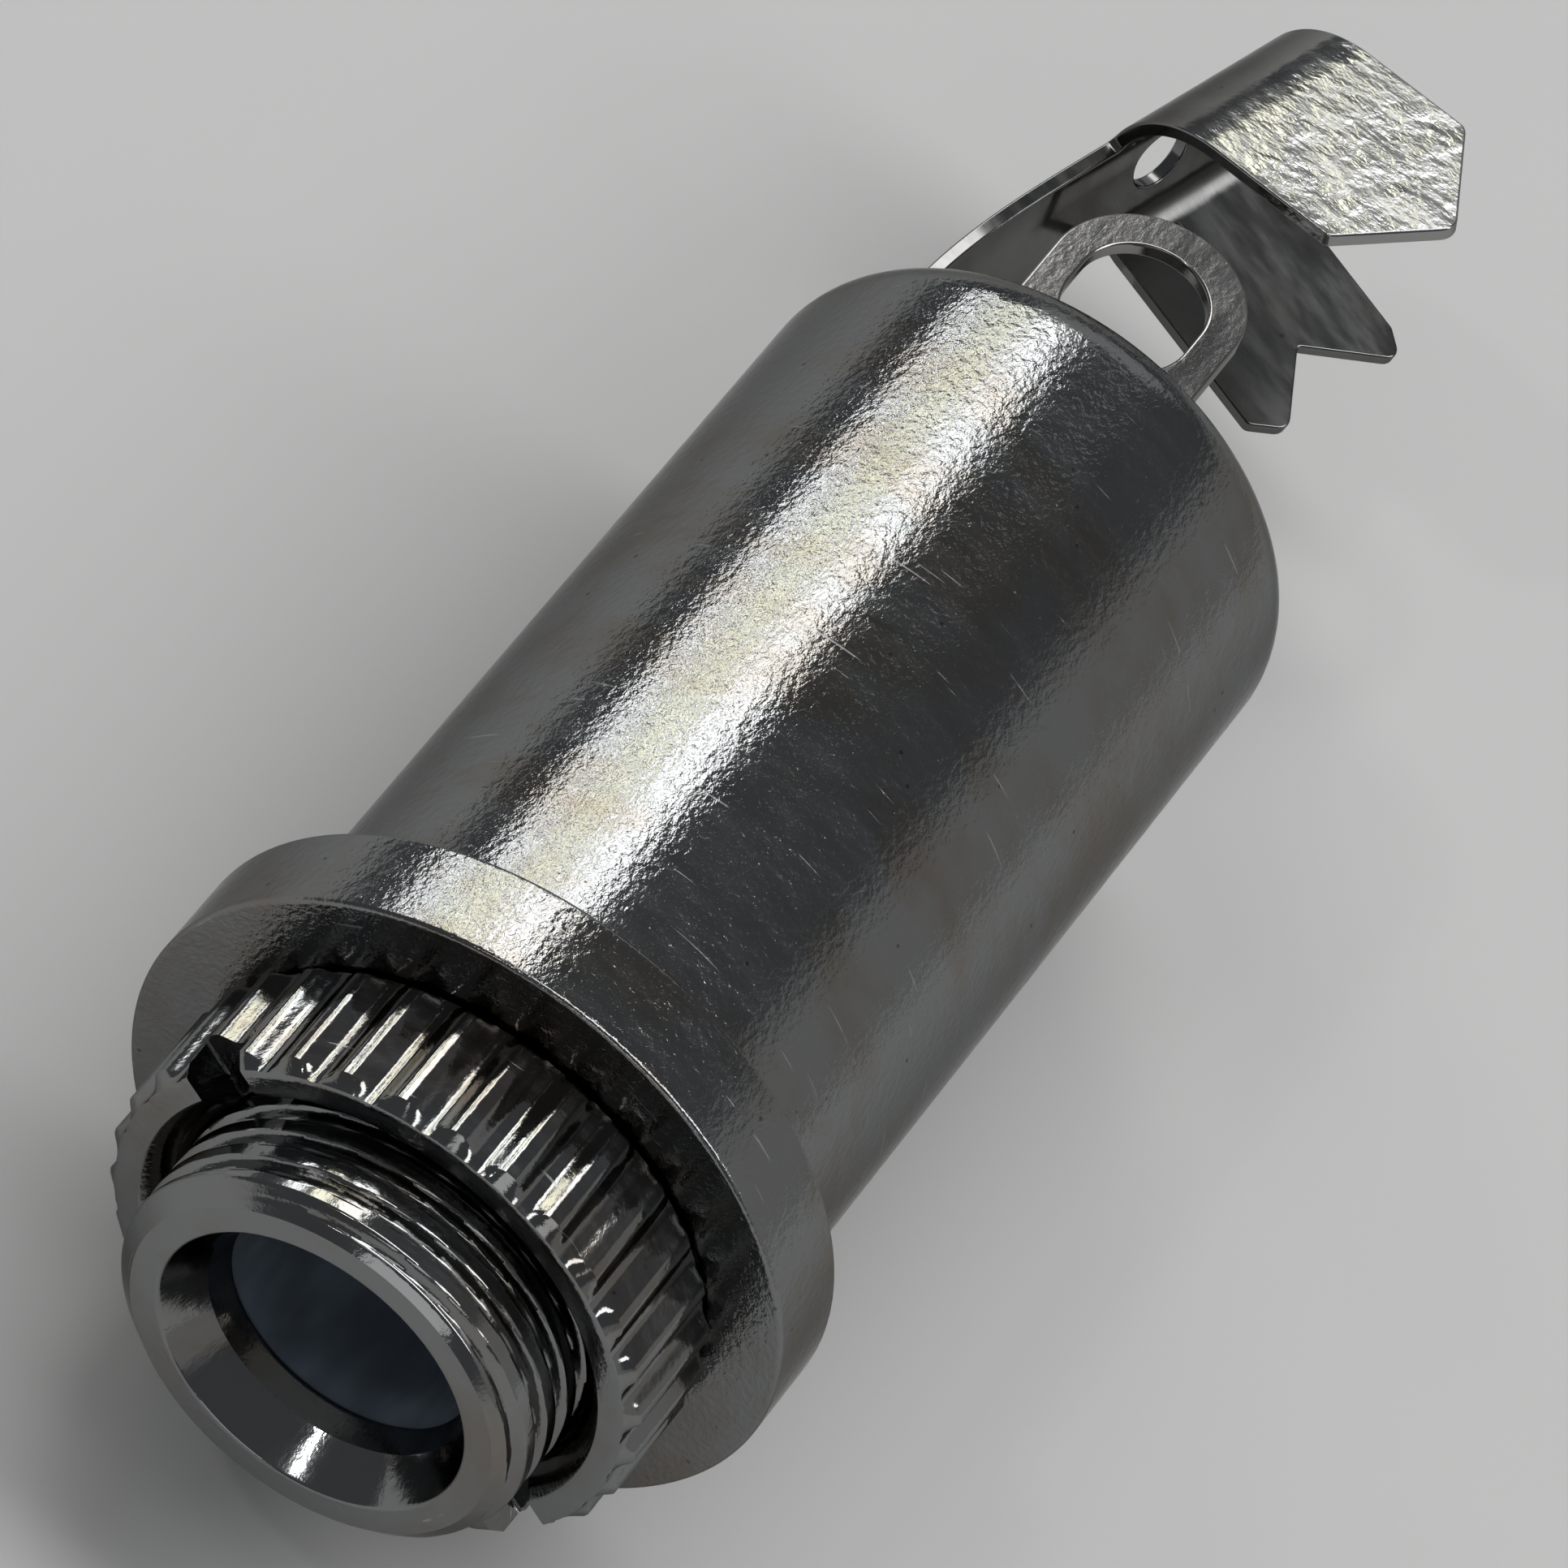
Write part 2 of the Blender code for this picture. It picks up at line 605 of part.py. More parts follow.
def make_spring(parent):
    """Contact blade with a bow that drops into the plug's groove and a raised toe."""
    path = [
        (SPRING_FLAT, 0.0),
        (SPRING_KNEE_R, SPRING_SLOPE),
        (SPRING_ARM, 0.0),
        (SPRING_BOW_R, -SPRING_SLOPE - SPRING_TOE_RISE),
        (SPRING_TOE, 0.0),
    ]
    start = (SPRING_TAIL_Y, SPRING_HEIGHT)
    spring_length = sum(r if t == 0.0 else r * abs(math.radians(t)) for r, t in path)

    def place(x, along):
        (y, z), angle = walk(start, 180.0, path, along)
        normal = Vector((0.0, math.sin(angle), -math.cos(angle)))
        return ROLLED @ Vector((x, y, z)), ROLLED @ normal

    half = SPRING_HALF_WIDTH
    corners = [
        (-half, 0.0, SPRING_TAIL_CORNER_R),
        (half, 0.0, SPRING_TAIL_CORNER_R),
        (half, spring_length, SPRING_TOE_CORNER_R),
        (-half, spring_length, SPRING_TOE_CORNER_R),
    ]
    lines = [((-half - 0.5, s), (half + 0.5, s)) for s in stations(path)]
    hole = circle((0.0, SPRING_TAIL_Y - RIVET_Y), RIVET_R + RIVET_HOLE_PLAY)
    maker = folded_sheet(rounded(corners), [hole], lines, place, SPRING_THICKNESS)
    hinge = ROLLED @ Vector((0.0, HINGE_Y, SPRING_HEIGHT))
    add_object("tip_spring", maker, parent, hinge)


def make_rivet(parent):
    """Rivet that holds the blade on the lug's tongue."""
    bottom = LUG_HEIGHT - LUG_THICKNESS / 2 - SEAT_GAP
    top = SPRING_HEIGHT + SPRING_THICKNESS / 2 + RIVET_HEAD_LIFT
    heights = [
        (bottom - RIVET_HEAD_THICKNESS, RIVET_HEAD_R),
        (bottom, RIVET_HEAD_R),
        (bottom, RIVET_R),
        (top, RIVET_R),
        (top, RIVET_HEAD_R),
        (top + RIVET_HEAD_THICKNESS * 0.6, RIVET_HEAD_R * 0.92),
        (top + RIVET_HEAD_THICKNESS, RIVET_HEAD_R * 0.6),
    ]
    maker = bmesh.new()
    rings = []
    for z, r in heights:
        rings.append([maker.verts.new((x, y, z)) for x, y in circle((0.0, RIVET_Y), r)])
    maker.faces.new(list(reversed(rings[0])))
    maker.faces.new(rings[-1])
    for lower, upper in zip(rings, rings[1:]):
        for i in range(len(lower)):
            k = (i + 1) % len(lower)
            maker.faces.new((lower[i], lower[k], upper[k], upper[i]))
    maker.transform(ROLLED.to_4x4())
    add_object("contact_rivet", maker, parent)


def make_clamp(parent):
    """Earth plate, neck and cable clamp, all folded from one sheet.

    On the blank u runs from the plate to the clamp and v across it, zero on the neck's middle.
    """
    inner_roll = CAN_ROLL_R - CAN_WALL
    plate_r = CAN_OPENING_R + math.sqrt(inner_roll**2 - (inner_roll - SEAT_GAP) ** 2) - SLIDE_GAP
    out = Vector((math.cos(math.radians(NECK_ANGLE)), 0.0, math.sin(math.radians(NECK_ANGLE))))
    across = Vector((out.z, 0.0, -out.x))
    back = Vector((0.0, 1.0, 0.0))
    reach = math.sqrt((CAN_OPENING_R - NECK_PLAY) ** 2 - NECK_HALF_WIDTH**2) - SHEET / 2
    plate_mid = (PLATE_Y + PLATE_END_Y) / 2
    bend_at = reach - NECK_BEND_R
    bend_length = NECK_BEND_R * math.pi / 2
    neck_end = bend_length + NECK_RUN
    neck_y = plate_mid + NECK_BEND_R + NECK_RUN

    turn = Matrix.Rotation(math.radians(-CLAMP_YAW), 3, "Z")
    turn @= Matrix.Rotation(math.radians(CLAMP_PITCH), 3, "X")
    turn @= Matrix.Rotation(math.radians(CLAMP_ROLL), 3, "Y")
    side = turn @ Vector((1.0, 0.0, 0.0))
    along = turn @ Vector((0.0, 1.0, 0.0))
    rise = turn @ Vector((0.0, 0.0, 1.0))
    corner = Vector((CLAMP_X, CAN_END_Y + CLAMP_FROM_CAN, CLAMP_Z))
    section = [
        (CLAMP_FOLD_R, -CLAMP_FOLD_TURN),
        (CLAMP_WEB, 0.0),
        (CLAMP_ROLL_R, -CLAMP_ROLL_TURN),
        (UPPER_EAR_APEX, 0.0),
    ]

    def on_section(v):
        distance = v + NECK_ROOT_ON_CLAMP
        if distance < 0.0:
            return corner - side * distance
        (b, h), _ = walk((0.0, 0.0), 180.0, section, distance)
        return corner + side * b + rise * h

    loft_start = out * reach + back * neck_y
    loft_length = (on_section(0.0) - loft_start).length
    clamp_u = neck_end + loft_length

    def middle(u, v):
        if u <= 0.0:
            return out * (bend_at + u) + across * v + back * plate_mid
        if u <= bend_length:
            angle = u / NECK_BEND_R
            outward = bend_at + NECK_BEND_R * math.sin(angle)
            forward = plate_mid + NECK_BEND_R * (1.0 - math.cos(angle))
            return out * outward + across * v + back * forward
        if u <= neck_end:
            return out * reach + across * v + back * (neck_y - neck_end + u)
        if u >= clamp_u:
            return on_section(v) + along * (u - clamp_u)
        t = (u - neck_end) / loft_length
        first = loft_start + across * v
        last = on_section(v)
        swing = (2 * t**3 - 3 * t**2 + 1, t**3 - 2 * t**2 + t, 3 * t**2 - 2 * t**3, t**3 - t**2)
        leave = back * loft_length
        arrive = along * loft_length
        return first * swing[0] + leave * swing[1] + last * swing[2] + arrive * swing[3]

    def place(u, v):
        step = 0.002
        run = middle(u + step, v) - middle(u - step, v)
        width = middle(u, v + step) - middle(u, v - step)
        return middle(u, v), run.cross(width).normalized()

    half = NECK_HALF_WIDTH
    roll_end = stations(section)[-1] - NECK_ROOT_ON_CLAMP
    upper_near = clamp_u - UPPER_EAR_FORWARD
    upper_far = upper_near + UPPER_EAR_WIDTH
    low = -NECK_ROOT_ON_CLAMP - LOWER_EAR_SIDE
    notch = low + TAIL_NOTCH_DEPTH
    chord_u = -CHORD_INSET
    chord_angle = math.degrees(math.acos((bend_at - CHORD_INSET) / plate_r))
    rim = arc_points((-bend_at, 0.0), plate_r, chord_angle, 360.0 - chord_angle, 7.5)
    notch_u = chord_u - NECK_NOTCH_DEPTH
    notch_v = half + NECK_NOTCH_WIDTH
    far = clamp_u + LOWER_EAR_WIDTH
    corners = [
        (notch_u, half, 0.0),
        (notch_u, notch_v, 0.0),
        (chord_u, notch_v, 0.0),
        *[(u, v, 0.0) for u, v in rim],
        (chord_u, -notch_v, 0.0),
        (notch_u, -notch_v, 0.0),
        (notch_u, -half, 0.0),
        (clamp_u, -half, EAR_ROOT_R),
        (clamp_u, low, LOWER_EAR_CORNER_R),
        (clamp_u + LOBE_INSET, low - LOBE_RISE, LOBE_R),
        (clamp_u + LOWER_EAR_WIDTH / 2, notch, TAIL_NOTCH_R),
        (far - REAR_LOBE_INSET, low - LOBE_RISE, REAR_LOBE_R),
        (far, low + LOWER_EAR_SKEW, LOWER_EAR_CORNER_R),
        (far, -NECK_ROOT_ON_CLAMP, 0.0),
        (upper_far, 0.0, 0.0),
        (upper_far, roll_end + UPPER_EAR_REAR_SIDE, UPPER_EAR_REAR_R),
        (upper_near + UPPER_EAR_APEX_ALONG, roll_end + UPPER_EAR_APEX, UPPER_EAR_APEX_R),
        (upper_near, roll_end + UPPER_EAR_FRONT_SIDE, UPPER_EAR_FRONT_R),
        (upper_near, half, EAR_ROOT_R),
    ]
    play = PLATE_WINDOW_PLAY
    window = []
    for x, z in (
        (BOSS_LEFT - play, BOSS_FLOOR - play),
        (BOSS_LEFT - play, BOSS_ROOF + play),
        (BOSS_RIGHT + play, BOSS_ROOF + play),
        (BOSS_RIGHT + play, BOSS_FLOOR - play),
    ):
        spot = ROLLED @ Vector((x, 0.0, z))
        window.append((spot.dot(out) - bend_at, spot.dot(across), PLATE_WINDOW_CORNER_R))
    window = rounded(window)
    cable_hole = circle((clamp_u + CLAMP_HOLE_ALONG, CLAMP_HOLE_UP - NECK_ROOT_ON_CLAMP), CLAMP_HOLE_R)

    lines = []
    wide = half + 0.01
    for i in range(6):
        u = bend_length * i / 5
        lines.append(((u, -wide), (u, wide)))
    for i in range(11):
        u = neck_end + loft_length * i / 10
        lines.append(((u, -wide), (u, wide)))
    for distance in stations(section):
        v = distance - NECK_ROOT_ON_CLAMP
        start = neck_end if abs(v) < half else clamp_u - SHEET
        lines.append(((start, v), (far + SHEET, v)))
    maker = folded_sheet(rounded(corners), [window, cable_hole], lines, place, SHEET)
    add_object("earth_clamp", maker, parent)


def main():
    """Clears the scene and builds every piece round the socket's axis."""
    for old in list(bpy.data.objects):
        bpy.data.objects.remove(old)
    axis = bpy.data.objects.new("socket_axis", None)
    axis.empty_display_size = 2.0 * MM
    bpy.context.scene.collection.objects.link(axis)
    make_bushing(axis)
    make_nut(axis)
    make_can(axis)
    make_guide(axis)
    make_liner(axis)
    make_block(axis)
    make_lug(axis)
    make_spring(axis)
    make_rivet(axis)
    make_clamp(axis)


if __name__ == "__main__":
    main()
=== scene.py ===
"""Finished look of a panel-mounted audio jack socket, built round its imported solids.

The plug enters at -Y along the Y axis and the flange's front face lies at y = 0. Sizes in the classes
are in millimetres and angles in degrees; points become metres where a mesh is made.
"""

import logging
import math
from collections.abc import Callable, Sequence
from dataclasses import dataclass, field
from enum import Enum

import bmesh
import bpy
import numpy as np
from mathutils import Matrix, Vector
from mathutils.geometry import delaunay_2d_cdt


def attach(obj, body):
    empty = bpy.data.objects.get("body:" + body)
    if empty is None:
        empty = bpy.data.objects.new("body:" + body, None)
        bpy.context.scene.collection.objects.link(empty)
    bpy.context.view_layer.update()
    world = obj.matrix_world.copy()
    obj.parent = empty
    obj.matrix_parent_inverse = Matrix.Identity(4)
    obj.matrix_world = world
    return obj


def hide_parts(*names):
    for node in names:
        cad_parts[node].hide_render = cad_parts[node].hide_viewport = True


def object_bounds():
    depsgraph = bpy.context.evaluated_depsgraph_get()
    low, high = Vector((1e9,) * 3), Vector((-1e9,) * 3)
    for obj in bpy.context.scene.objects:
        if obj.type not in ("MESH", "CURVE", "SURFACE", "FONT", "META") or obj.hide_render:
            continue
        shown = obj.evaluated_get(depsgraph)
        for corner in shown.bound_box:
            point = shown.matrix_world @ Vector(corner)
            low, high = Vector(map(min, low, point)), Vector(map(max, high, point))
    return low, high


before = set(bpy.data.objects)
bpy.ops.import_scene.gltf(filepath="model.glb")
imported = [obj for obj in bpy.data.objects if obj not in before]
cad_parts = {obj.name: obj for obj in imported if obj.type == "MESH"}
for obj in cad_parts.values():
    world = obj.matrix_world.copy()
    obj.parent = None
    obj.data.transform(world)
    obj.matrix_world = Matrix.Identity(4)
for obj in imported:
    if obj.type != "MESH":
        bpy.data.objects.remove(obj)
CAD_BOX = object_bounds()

LOG = logging.getLogger("jack_socket")
MM = 0.001
FLOOR_GAP = 0.00002

Vector3 = tuple[float, float, float]
Colour = tuple[float, float, float]
Point2 = tuple[float, float]
Range = tuple[float, float]
Place = Callable[[float, float], tuple[Vector, Vector]]
Socket = bpy.types.NodeSocket
Value = Socket | float | Sequence[float]


# Materials: each one is a node tree read in millimetres from the object.


class Wiring:
    """A node tree while it is put together."""

    def __init__(self, tree: bpy.types.NodeTree) -> None:
        """Starts on a tree that exists."""
        self.tree = tree

    def feed(self, target: Socket, value: Value) -> None:
        """Links an output to an input, or sets a value on it.

        Args:
            target: The input to feed.
            value: An output to link, or a number, a vector or a colour with its alpha.
        """
        if isinstance(value, bpy.types.NodeSocket):
            self.tree.links.new(value, target)
        else:
            target.default_value = value

    def made(self, kind: str, output: int | str, values: dict[int | str, Value], **options: str) -> Socket:
        """Adds a node.

        Args:
            kind: Blender's name for the node, after its common first words.
            output: Number or name of the output that is wanted.
            values: What each input gets, by its number or name.
            options: The node's own options.

        Returns:
            The wanted output.
        """
        node = self.tree.nodes.new(f"ShaderNode{kind}")
        for option, choice in options.items():
            setattr(node, option, choice)
        for name, value in values.items():
            self.feed(node.inputs[name], value)
        return node.outputs[output]

    def maths(self, operation: str, first: Socket | float, second: Socket | float = 0.0) -> Socket:
        """Works out one value from two."""
        return self.made("Math", 0, {0: first, 1: second}, operation=operation)

    def scaled(self, vector: Socket, factors: Vector3) -> Socket:
        """Multiplies a vector, axis by axis."""
        return self.made("VectorMath", "Vector", {0: vector, 1: factors}, operation="MULTIPLY")

    def along(self, vector: Socket, direction: Vector3) -> Socket:
        """How far a point lies along a direction."""
        return self.made("VectorMath", "Value", {0: vector, 1: direction}, operation="DOT_PRODUCT")

    def ramp(self, value: Socket, low: float, high: float, start: float = 0.0, end: float = 1.0) -> Socket:
        """Maps low and high to start and end, smoothly and clamped there."""
        values = {"Value": value, "From Min": low, "From Max": high, "To Min": start, "To Max": end}
        return self.made("MapRange", "Result", values, interpolation_type="SMOOTHSTEP")

    def blend(self, share: Socket, first: Socket | Colour, second: Socket | Colour) -> Socket:
        """Mixes two colours by the second one's share."""
        first, second = ((*c, 1.0) if isinstance(c, tuple) else c for c in (first, second))
        return self.made("Mix", 2, {0: share, 6: first, 7: second}, data_type="RGBA")


class Recipe(Wiring):
    """A material's node tree while it is put together."""

    def __init__(self, name: str) -> None:
        """Starts an empty material.

        Args:
            name: The material's name.
        """
        self.material = bpy.data.materials.new(name)
        self.material.use_nodes = True
        super().__init__(self.material.node_tree)
        self.place = self.scaled(self.made("TexCoord", "Object", {}), (1 / MM,) * 3)

    def turned_place(self, radial_sign: float) -> Socket:
        """Coordinates whose second axis runs along a turned profile.

        Args:
            radial_sign: +1 where the radius grows toward +Y, -1 where it shrinks.

        Returns:
            A vector (x, y + sign * radius, z) in millimetres.
        """
        x, y, z = self.made("SeparateXYZ", 0, {0: self.place}).node.outputs
        squares = self.maths("ADD", self.maths("MULTIPLY", x, x), self.maths("MULTIPLY", z, z))
        radius = self.maths("MULTIPLY", self.maths("SQRT", squares), radial_sign)
        return self.made("CombineXYZ", 0, {0: x, 1: self.maths("ADD", y, radius), 2: z})

    def rotated_place(self, direction: Vector3) -> Socket:
        """Coordinates in millimetres whose second axis runs along a direction of the object's frame."""
        turn = Vector(direction).normalized().rotation_difference(Vector((0.0, 1.0, 0.0)))
        values = {"Vector": self.place, "Rotation": turn.to_euler()}
        return self.made("Mapping", 0, values, vector_type="POINT")

    def noise(self, vector: Socket, per_mm: float, detail: float = 2.0, rough: float = 0.5) -> Socket:
        """Noise from 0 to 1, with so many features to the millimetre."""
        values = {"Vector": vector, "Scale": per_mm, "Detail": detail, "Roughness": rough}
        return self.made("TexNoise", "Fac", values)

    def cells(self, vector: Socket, per_mm: float) -> Socket:
        """Distance to the nearest of scattered points, in cell sizes."""
        return self.made("TexVoronoi", "Distance", {"Vector": vector, "Scale": per_mm})

    def bump(self, height: Socket, depth_mm: float, below: Socket | None = None) -> Socket:
        """Lays relief, from a height of 0 to 1, on the normal below it."""
        values = {"Height": height, "Distance": depth_mm * MM}
        return self.made("Bump", "Normal", values if below is None else {**values, "Normal": below})

    def finished(self, inputs: dict[str, Value]) -> bpy.types.Material:
        """Feeds the shader.

        Args:
            inputs: What each of the shader's inputs gets.

        Returns:
            The material.
        """
        shader = self.tree.nodes["Principled BSDF"]
        for name, value in inputs.items():
            self.feed(shader.inputs[name], value)
        return self.material


class Grain(Enum):
    """Which way the fine lines of a metal surface run."""

    TURNED = "rings, on a piece whose radius grows toward +Y"
    DRAWN = "rings, on a piece whose radius shrinks toward +Y"
    ROLLED = "straight lines across a given direction"


@dataclass(frozen=True)
class PlatedMetal:
    """Nickel or tin plate over brass, with fine lines, a speckled skin, scratches and a patchy tone.

    The relief grows along a given direction, between two distances along it, and where a painted light share
    is set the colour lightens along it too, a painted highlight on that side;
    bend_toward and bend_at give the plane of a fold that is dull, being rougher, and that carries painted
    shade, its colour darkened there.
    """

    name: str
    tint: Colour
    stain: Colour
    roughness: Range
    grain: Grain
    across: Vector3 = (0.0, 1.0, 0.0)
    lines_per_mm: float = 16.0
    line_shape: Vector3 = (0.05, 1.0, 0.05)
    line_depth: float = 0.0004
    speckle_per_mm: float = 9.0
    speckle_shape: Vector3 = (1.0, 0.75, 1.0)
    speckle_depth: float = 0.0125
    swell_per_mm: float = 0.9
    swell_depth: float = 0.0016
    scratches_per_mm: float = 13.0
    scratch_shape: Vector3 = (0.04, 1.0, 0.04)
    scratch_share: float = 0.72
    scratch_shine: float = 0.6
    scratch_rough: float = 0.18
    patches_per_mm: float = 0.45
    patch_shape: Vector3 = (0.8, 1.2, 0.8)
    patch_edge: Range = (0.42, 0.66)
    pits_per_mm: float = 1.7
    pit_rim: Range = (0.035, 0.07)
    pit_share: float = 0.7
    wear_per_mm: float = 3.0
    wear_shape: Vector3 = (0.3, 1.0, 0.3)
    dull: float = 0.35
    bright: float = 1.8
    edge_tint: Colour = (0.45, 0.45, 0.45)
    relief_and_light_toward: Vector3 = (0.0, 0.0, 0.0)
    relief_and_light_from: float = -2.0
    relief_and_light_to: float = -1.0
    calm: float = 0.0
    # Painted light: how far the colour lightens along the ramp that grows the relief.
    painted_light_share: float = 0.0
    bend_toward: Vector3 = (0.0, 0.0, 0.0)
    bend_at: float = 1.0
    bend_half: float = 0.3
    bend_dull: float = 0.0
    # Painted shade: how far the colour darkens toward the fold's plane.
    bend_painted_shade: float = 0.0

    def material(self) -> bpy.types.Material:
        """Builds the material.

        Returns:
            A node material that reads only object coordinates.
        """
        recipe = Recipe(self.name)
        if self.grain is Grain.ROLLED:
            place = recipe.rotated_place(self.across)
        else:
            place = recipe.turned_place(1.0 if self.grain is Grain.TURNED else -1.0)
        lines = recipe.noise(recipe.scaled(place, self.line_shape), self.lines_per_mm, 2.0, 0.6)
        speckle = recipe.noise(recipe.scaled(place, self.speckle_shape), self.speckle_per_mm, 3.0, 0.58)
        swell = recipe.noise(recipe.place, self.swell_per_mm)
        # One ramp grows the relief and, where a painted light share is set, the painted highlight.
        relief_and_light_at = recipe.along(recipe.place, self.relief_and_light_toward)
        relief_and_light = recipe.ramp(relief_and_light_at, self.relief_and_light_from, self.relief_and_light_to, self.calm, 1.0)
        bend_at = recipe.along(recipe.place, self.bend_toward)
        from_bend = recipe.maths("ABSOLUTE", recipe.maths("SUBTRACT", bend_at, self.bend_at))
        scratches = self.scratches(recipe, place)
        patches = recipe.noise(recipe.scaled(place, self.patch_shape), self.patches_per_mm, 5.0, 0.6)
        pits = recipe.ramp(recipe.cells(recipe.place, self.pits_per_mm), *self.pit_rim, self.pit_share, 0.0)
        # Painted shade: a darker tone in a band about the fold's plane.
        fold_painted_shade = recipe.ramp(from_bend, 0.0, self.bend_half, self.bend_painted_shade, 0.0)

        dull = tuple(self.dull * c for c in self.stain)
        bright = tuple(min(1.0, self.bright * c) for c in self.tint)
        tone = recipe.blend(recipe.ramp(patches, *self.patch_edge), self.tint, self.stain)
        tone = recipe.blend(pits, tone, dull)
        tone = recipe.blend(recipe.maths("MULTIPLY", scratches, self.scratch_shine), tone, bright)
        # Painted highlight: the colour lightens along the ramp.
        tone = recipe.blend(recipe.maths("MULTIPLY", relief_and_light, self.painted_light_share), tone, bright)
        # The fold's painted shade darkens the tone.
        tone = recipe.blend(fold_painted_shade, tone, dull)

        wear = recipe.noise(recipe.scaled(place, self.wear_shape), self.wear_per_mm, 4.0, 0.6)
        rough = recipe.ramp(wear, 0.3, 0.7, *self.roughness)
        rough = recipe.maths("ADD", rough, recipe.maths("MULTIPLY", scratches, self.scratch_rough))
        rough = recipe.maths("ADD", rough, recipe.ramp(from_bend, 0.0, self.bend_half, self.bend_dull, 0.0))

        normal = recipe.bump(recipe.maths("MULTIPLY", swell, relief_and_light), self.swell_depth)
        normal = recipe.bump(recipe.maths("MULTIPLY", speckle, relief_and_light), self.speckle_depth, normal)
        normal = recipe.bump(lines, self.line_depth, normal)
        inputs = {"Base Color": tone, "Roughness": rough, "Normal": normal, "Metallic": 1.0}
        return recipe.finished({**inputs, "Specular Tint": (*self.edge_tint, 1.0)})

    def scratches(self, recipe: Recipe, place: Socket) -> Socket:
        """Thin sparse marks along the grain.

        Args:
            recipe: The material that is put together.
            place: Coordinates whose second axis runs across the grain.

        Returns:
            1 on a scratch, 0 beside it.
        """
        marks = recipe.noise(recipe.scaled(place, self.scratch_shape), self.scratches_per_mm, 1.0)
        thin = recipe.ramp(marks, self.scratch_share, self.scratch_share + 0.02)
        where = recipe.ramp(recipe.noise(recipe.place, 1.3), 0.50, 0.58)
        return recipe.maths("MULTIPLY", thin, where)


@dataclass(frozen=True)
class MouldedPlastic:
    """Moulded plastic with a fine matt skin, black save where a tint carries painted light."""

    name: str
    tint: Colour
    roughness: Range
    skin_per_mm: float = 14.0
    skin_depth: float = 0.0020
    flow_per_mm: float = 0.8
    flow_shape: Vector3 = (1.0, 0.4, 1.0)

    def material(self) -> bpy.types.Material:
        """Builds the material.

        Returns:
            A node material that reads only object coordinates.
        """
        recipe = Recipe(self.name)
        skin = recipe.noise(recipe.place, self.skin_per_mm, 3.0, 0.6)
        flow = recipe.noise(recipe.scaled(recipe.place, self.flow_shape), self.flow_per_mm, 3.0)
        paler = tuple(1.8 * c + 0.004 for c in self.tint)
        tone = recipe.blend(recipe.ramp(flow, 0.4, 0.7), self.tint, paler)
        rough = recipe.ramp(flow, 0.3, 0.7, *self.roughness)
        normal = recipe.bump(skin, self.skin_depth)
        return recipe.finished({"Base Color": tone, "Roughness": rough, "Normal": normal})


@dataclass(frozen=True)
class PaperFloor:
    """Plain pale paper with a faint fibre."""

    tint: Colour = (0.68, 0.68, 0.67)
    fibre_tint: Colour = (0.6698, 0.6698, 0.65995)
    fibres_per_mm: float = 0.35
    roughness: float = 0.9

    def material(self) -> bpy.types.Material:
        """Builds the material.

        Returns:
            A matt material.
        """
        recipe = Recipe("pale_paper")
        fibre = recipe.noise(recipe.place, self.fibres_per_mm, 4.0)
        tone = recipe.blend(fibre, self.tint, self.fibre_tint)
        return recipe.finished({"Base Color": tone, "Roughness": self.roughness})


NICKEL = ((0.235, 0.24, 0.24), (0.215, 0.20, 0.18))


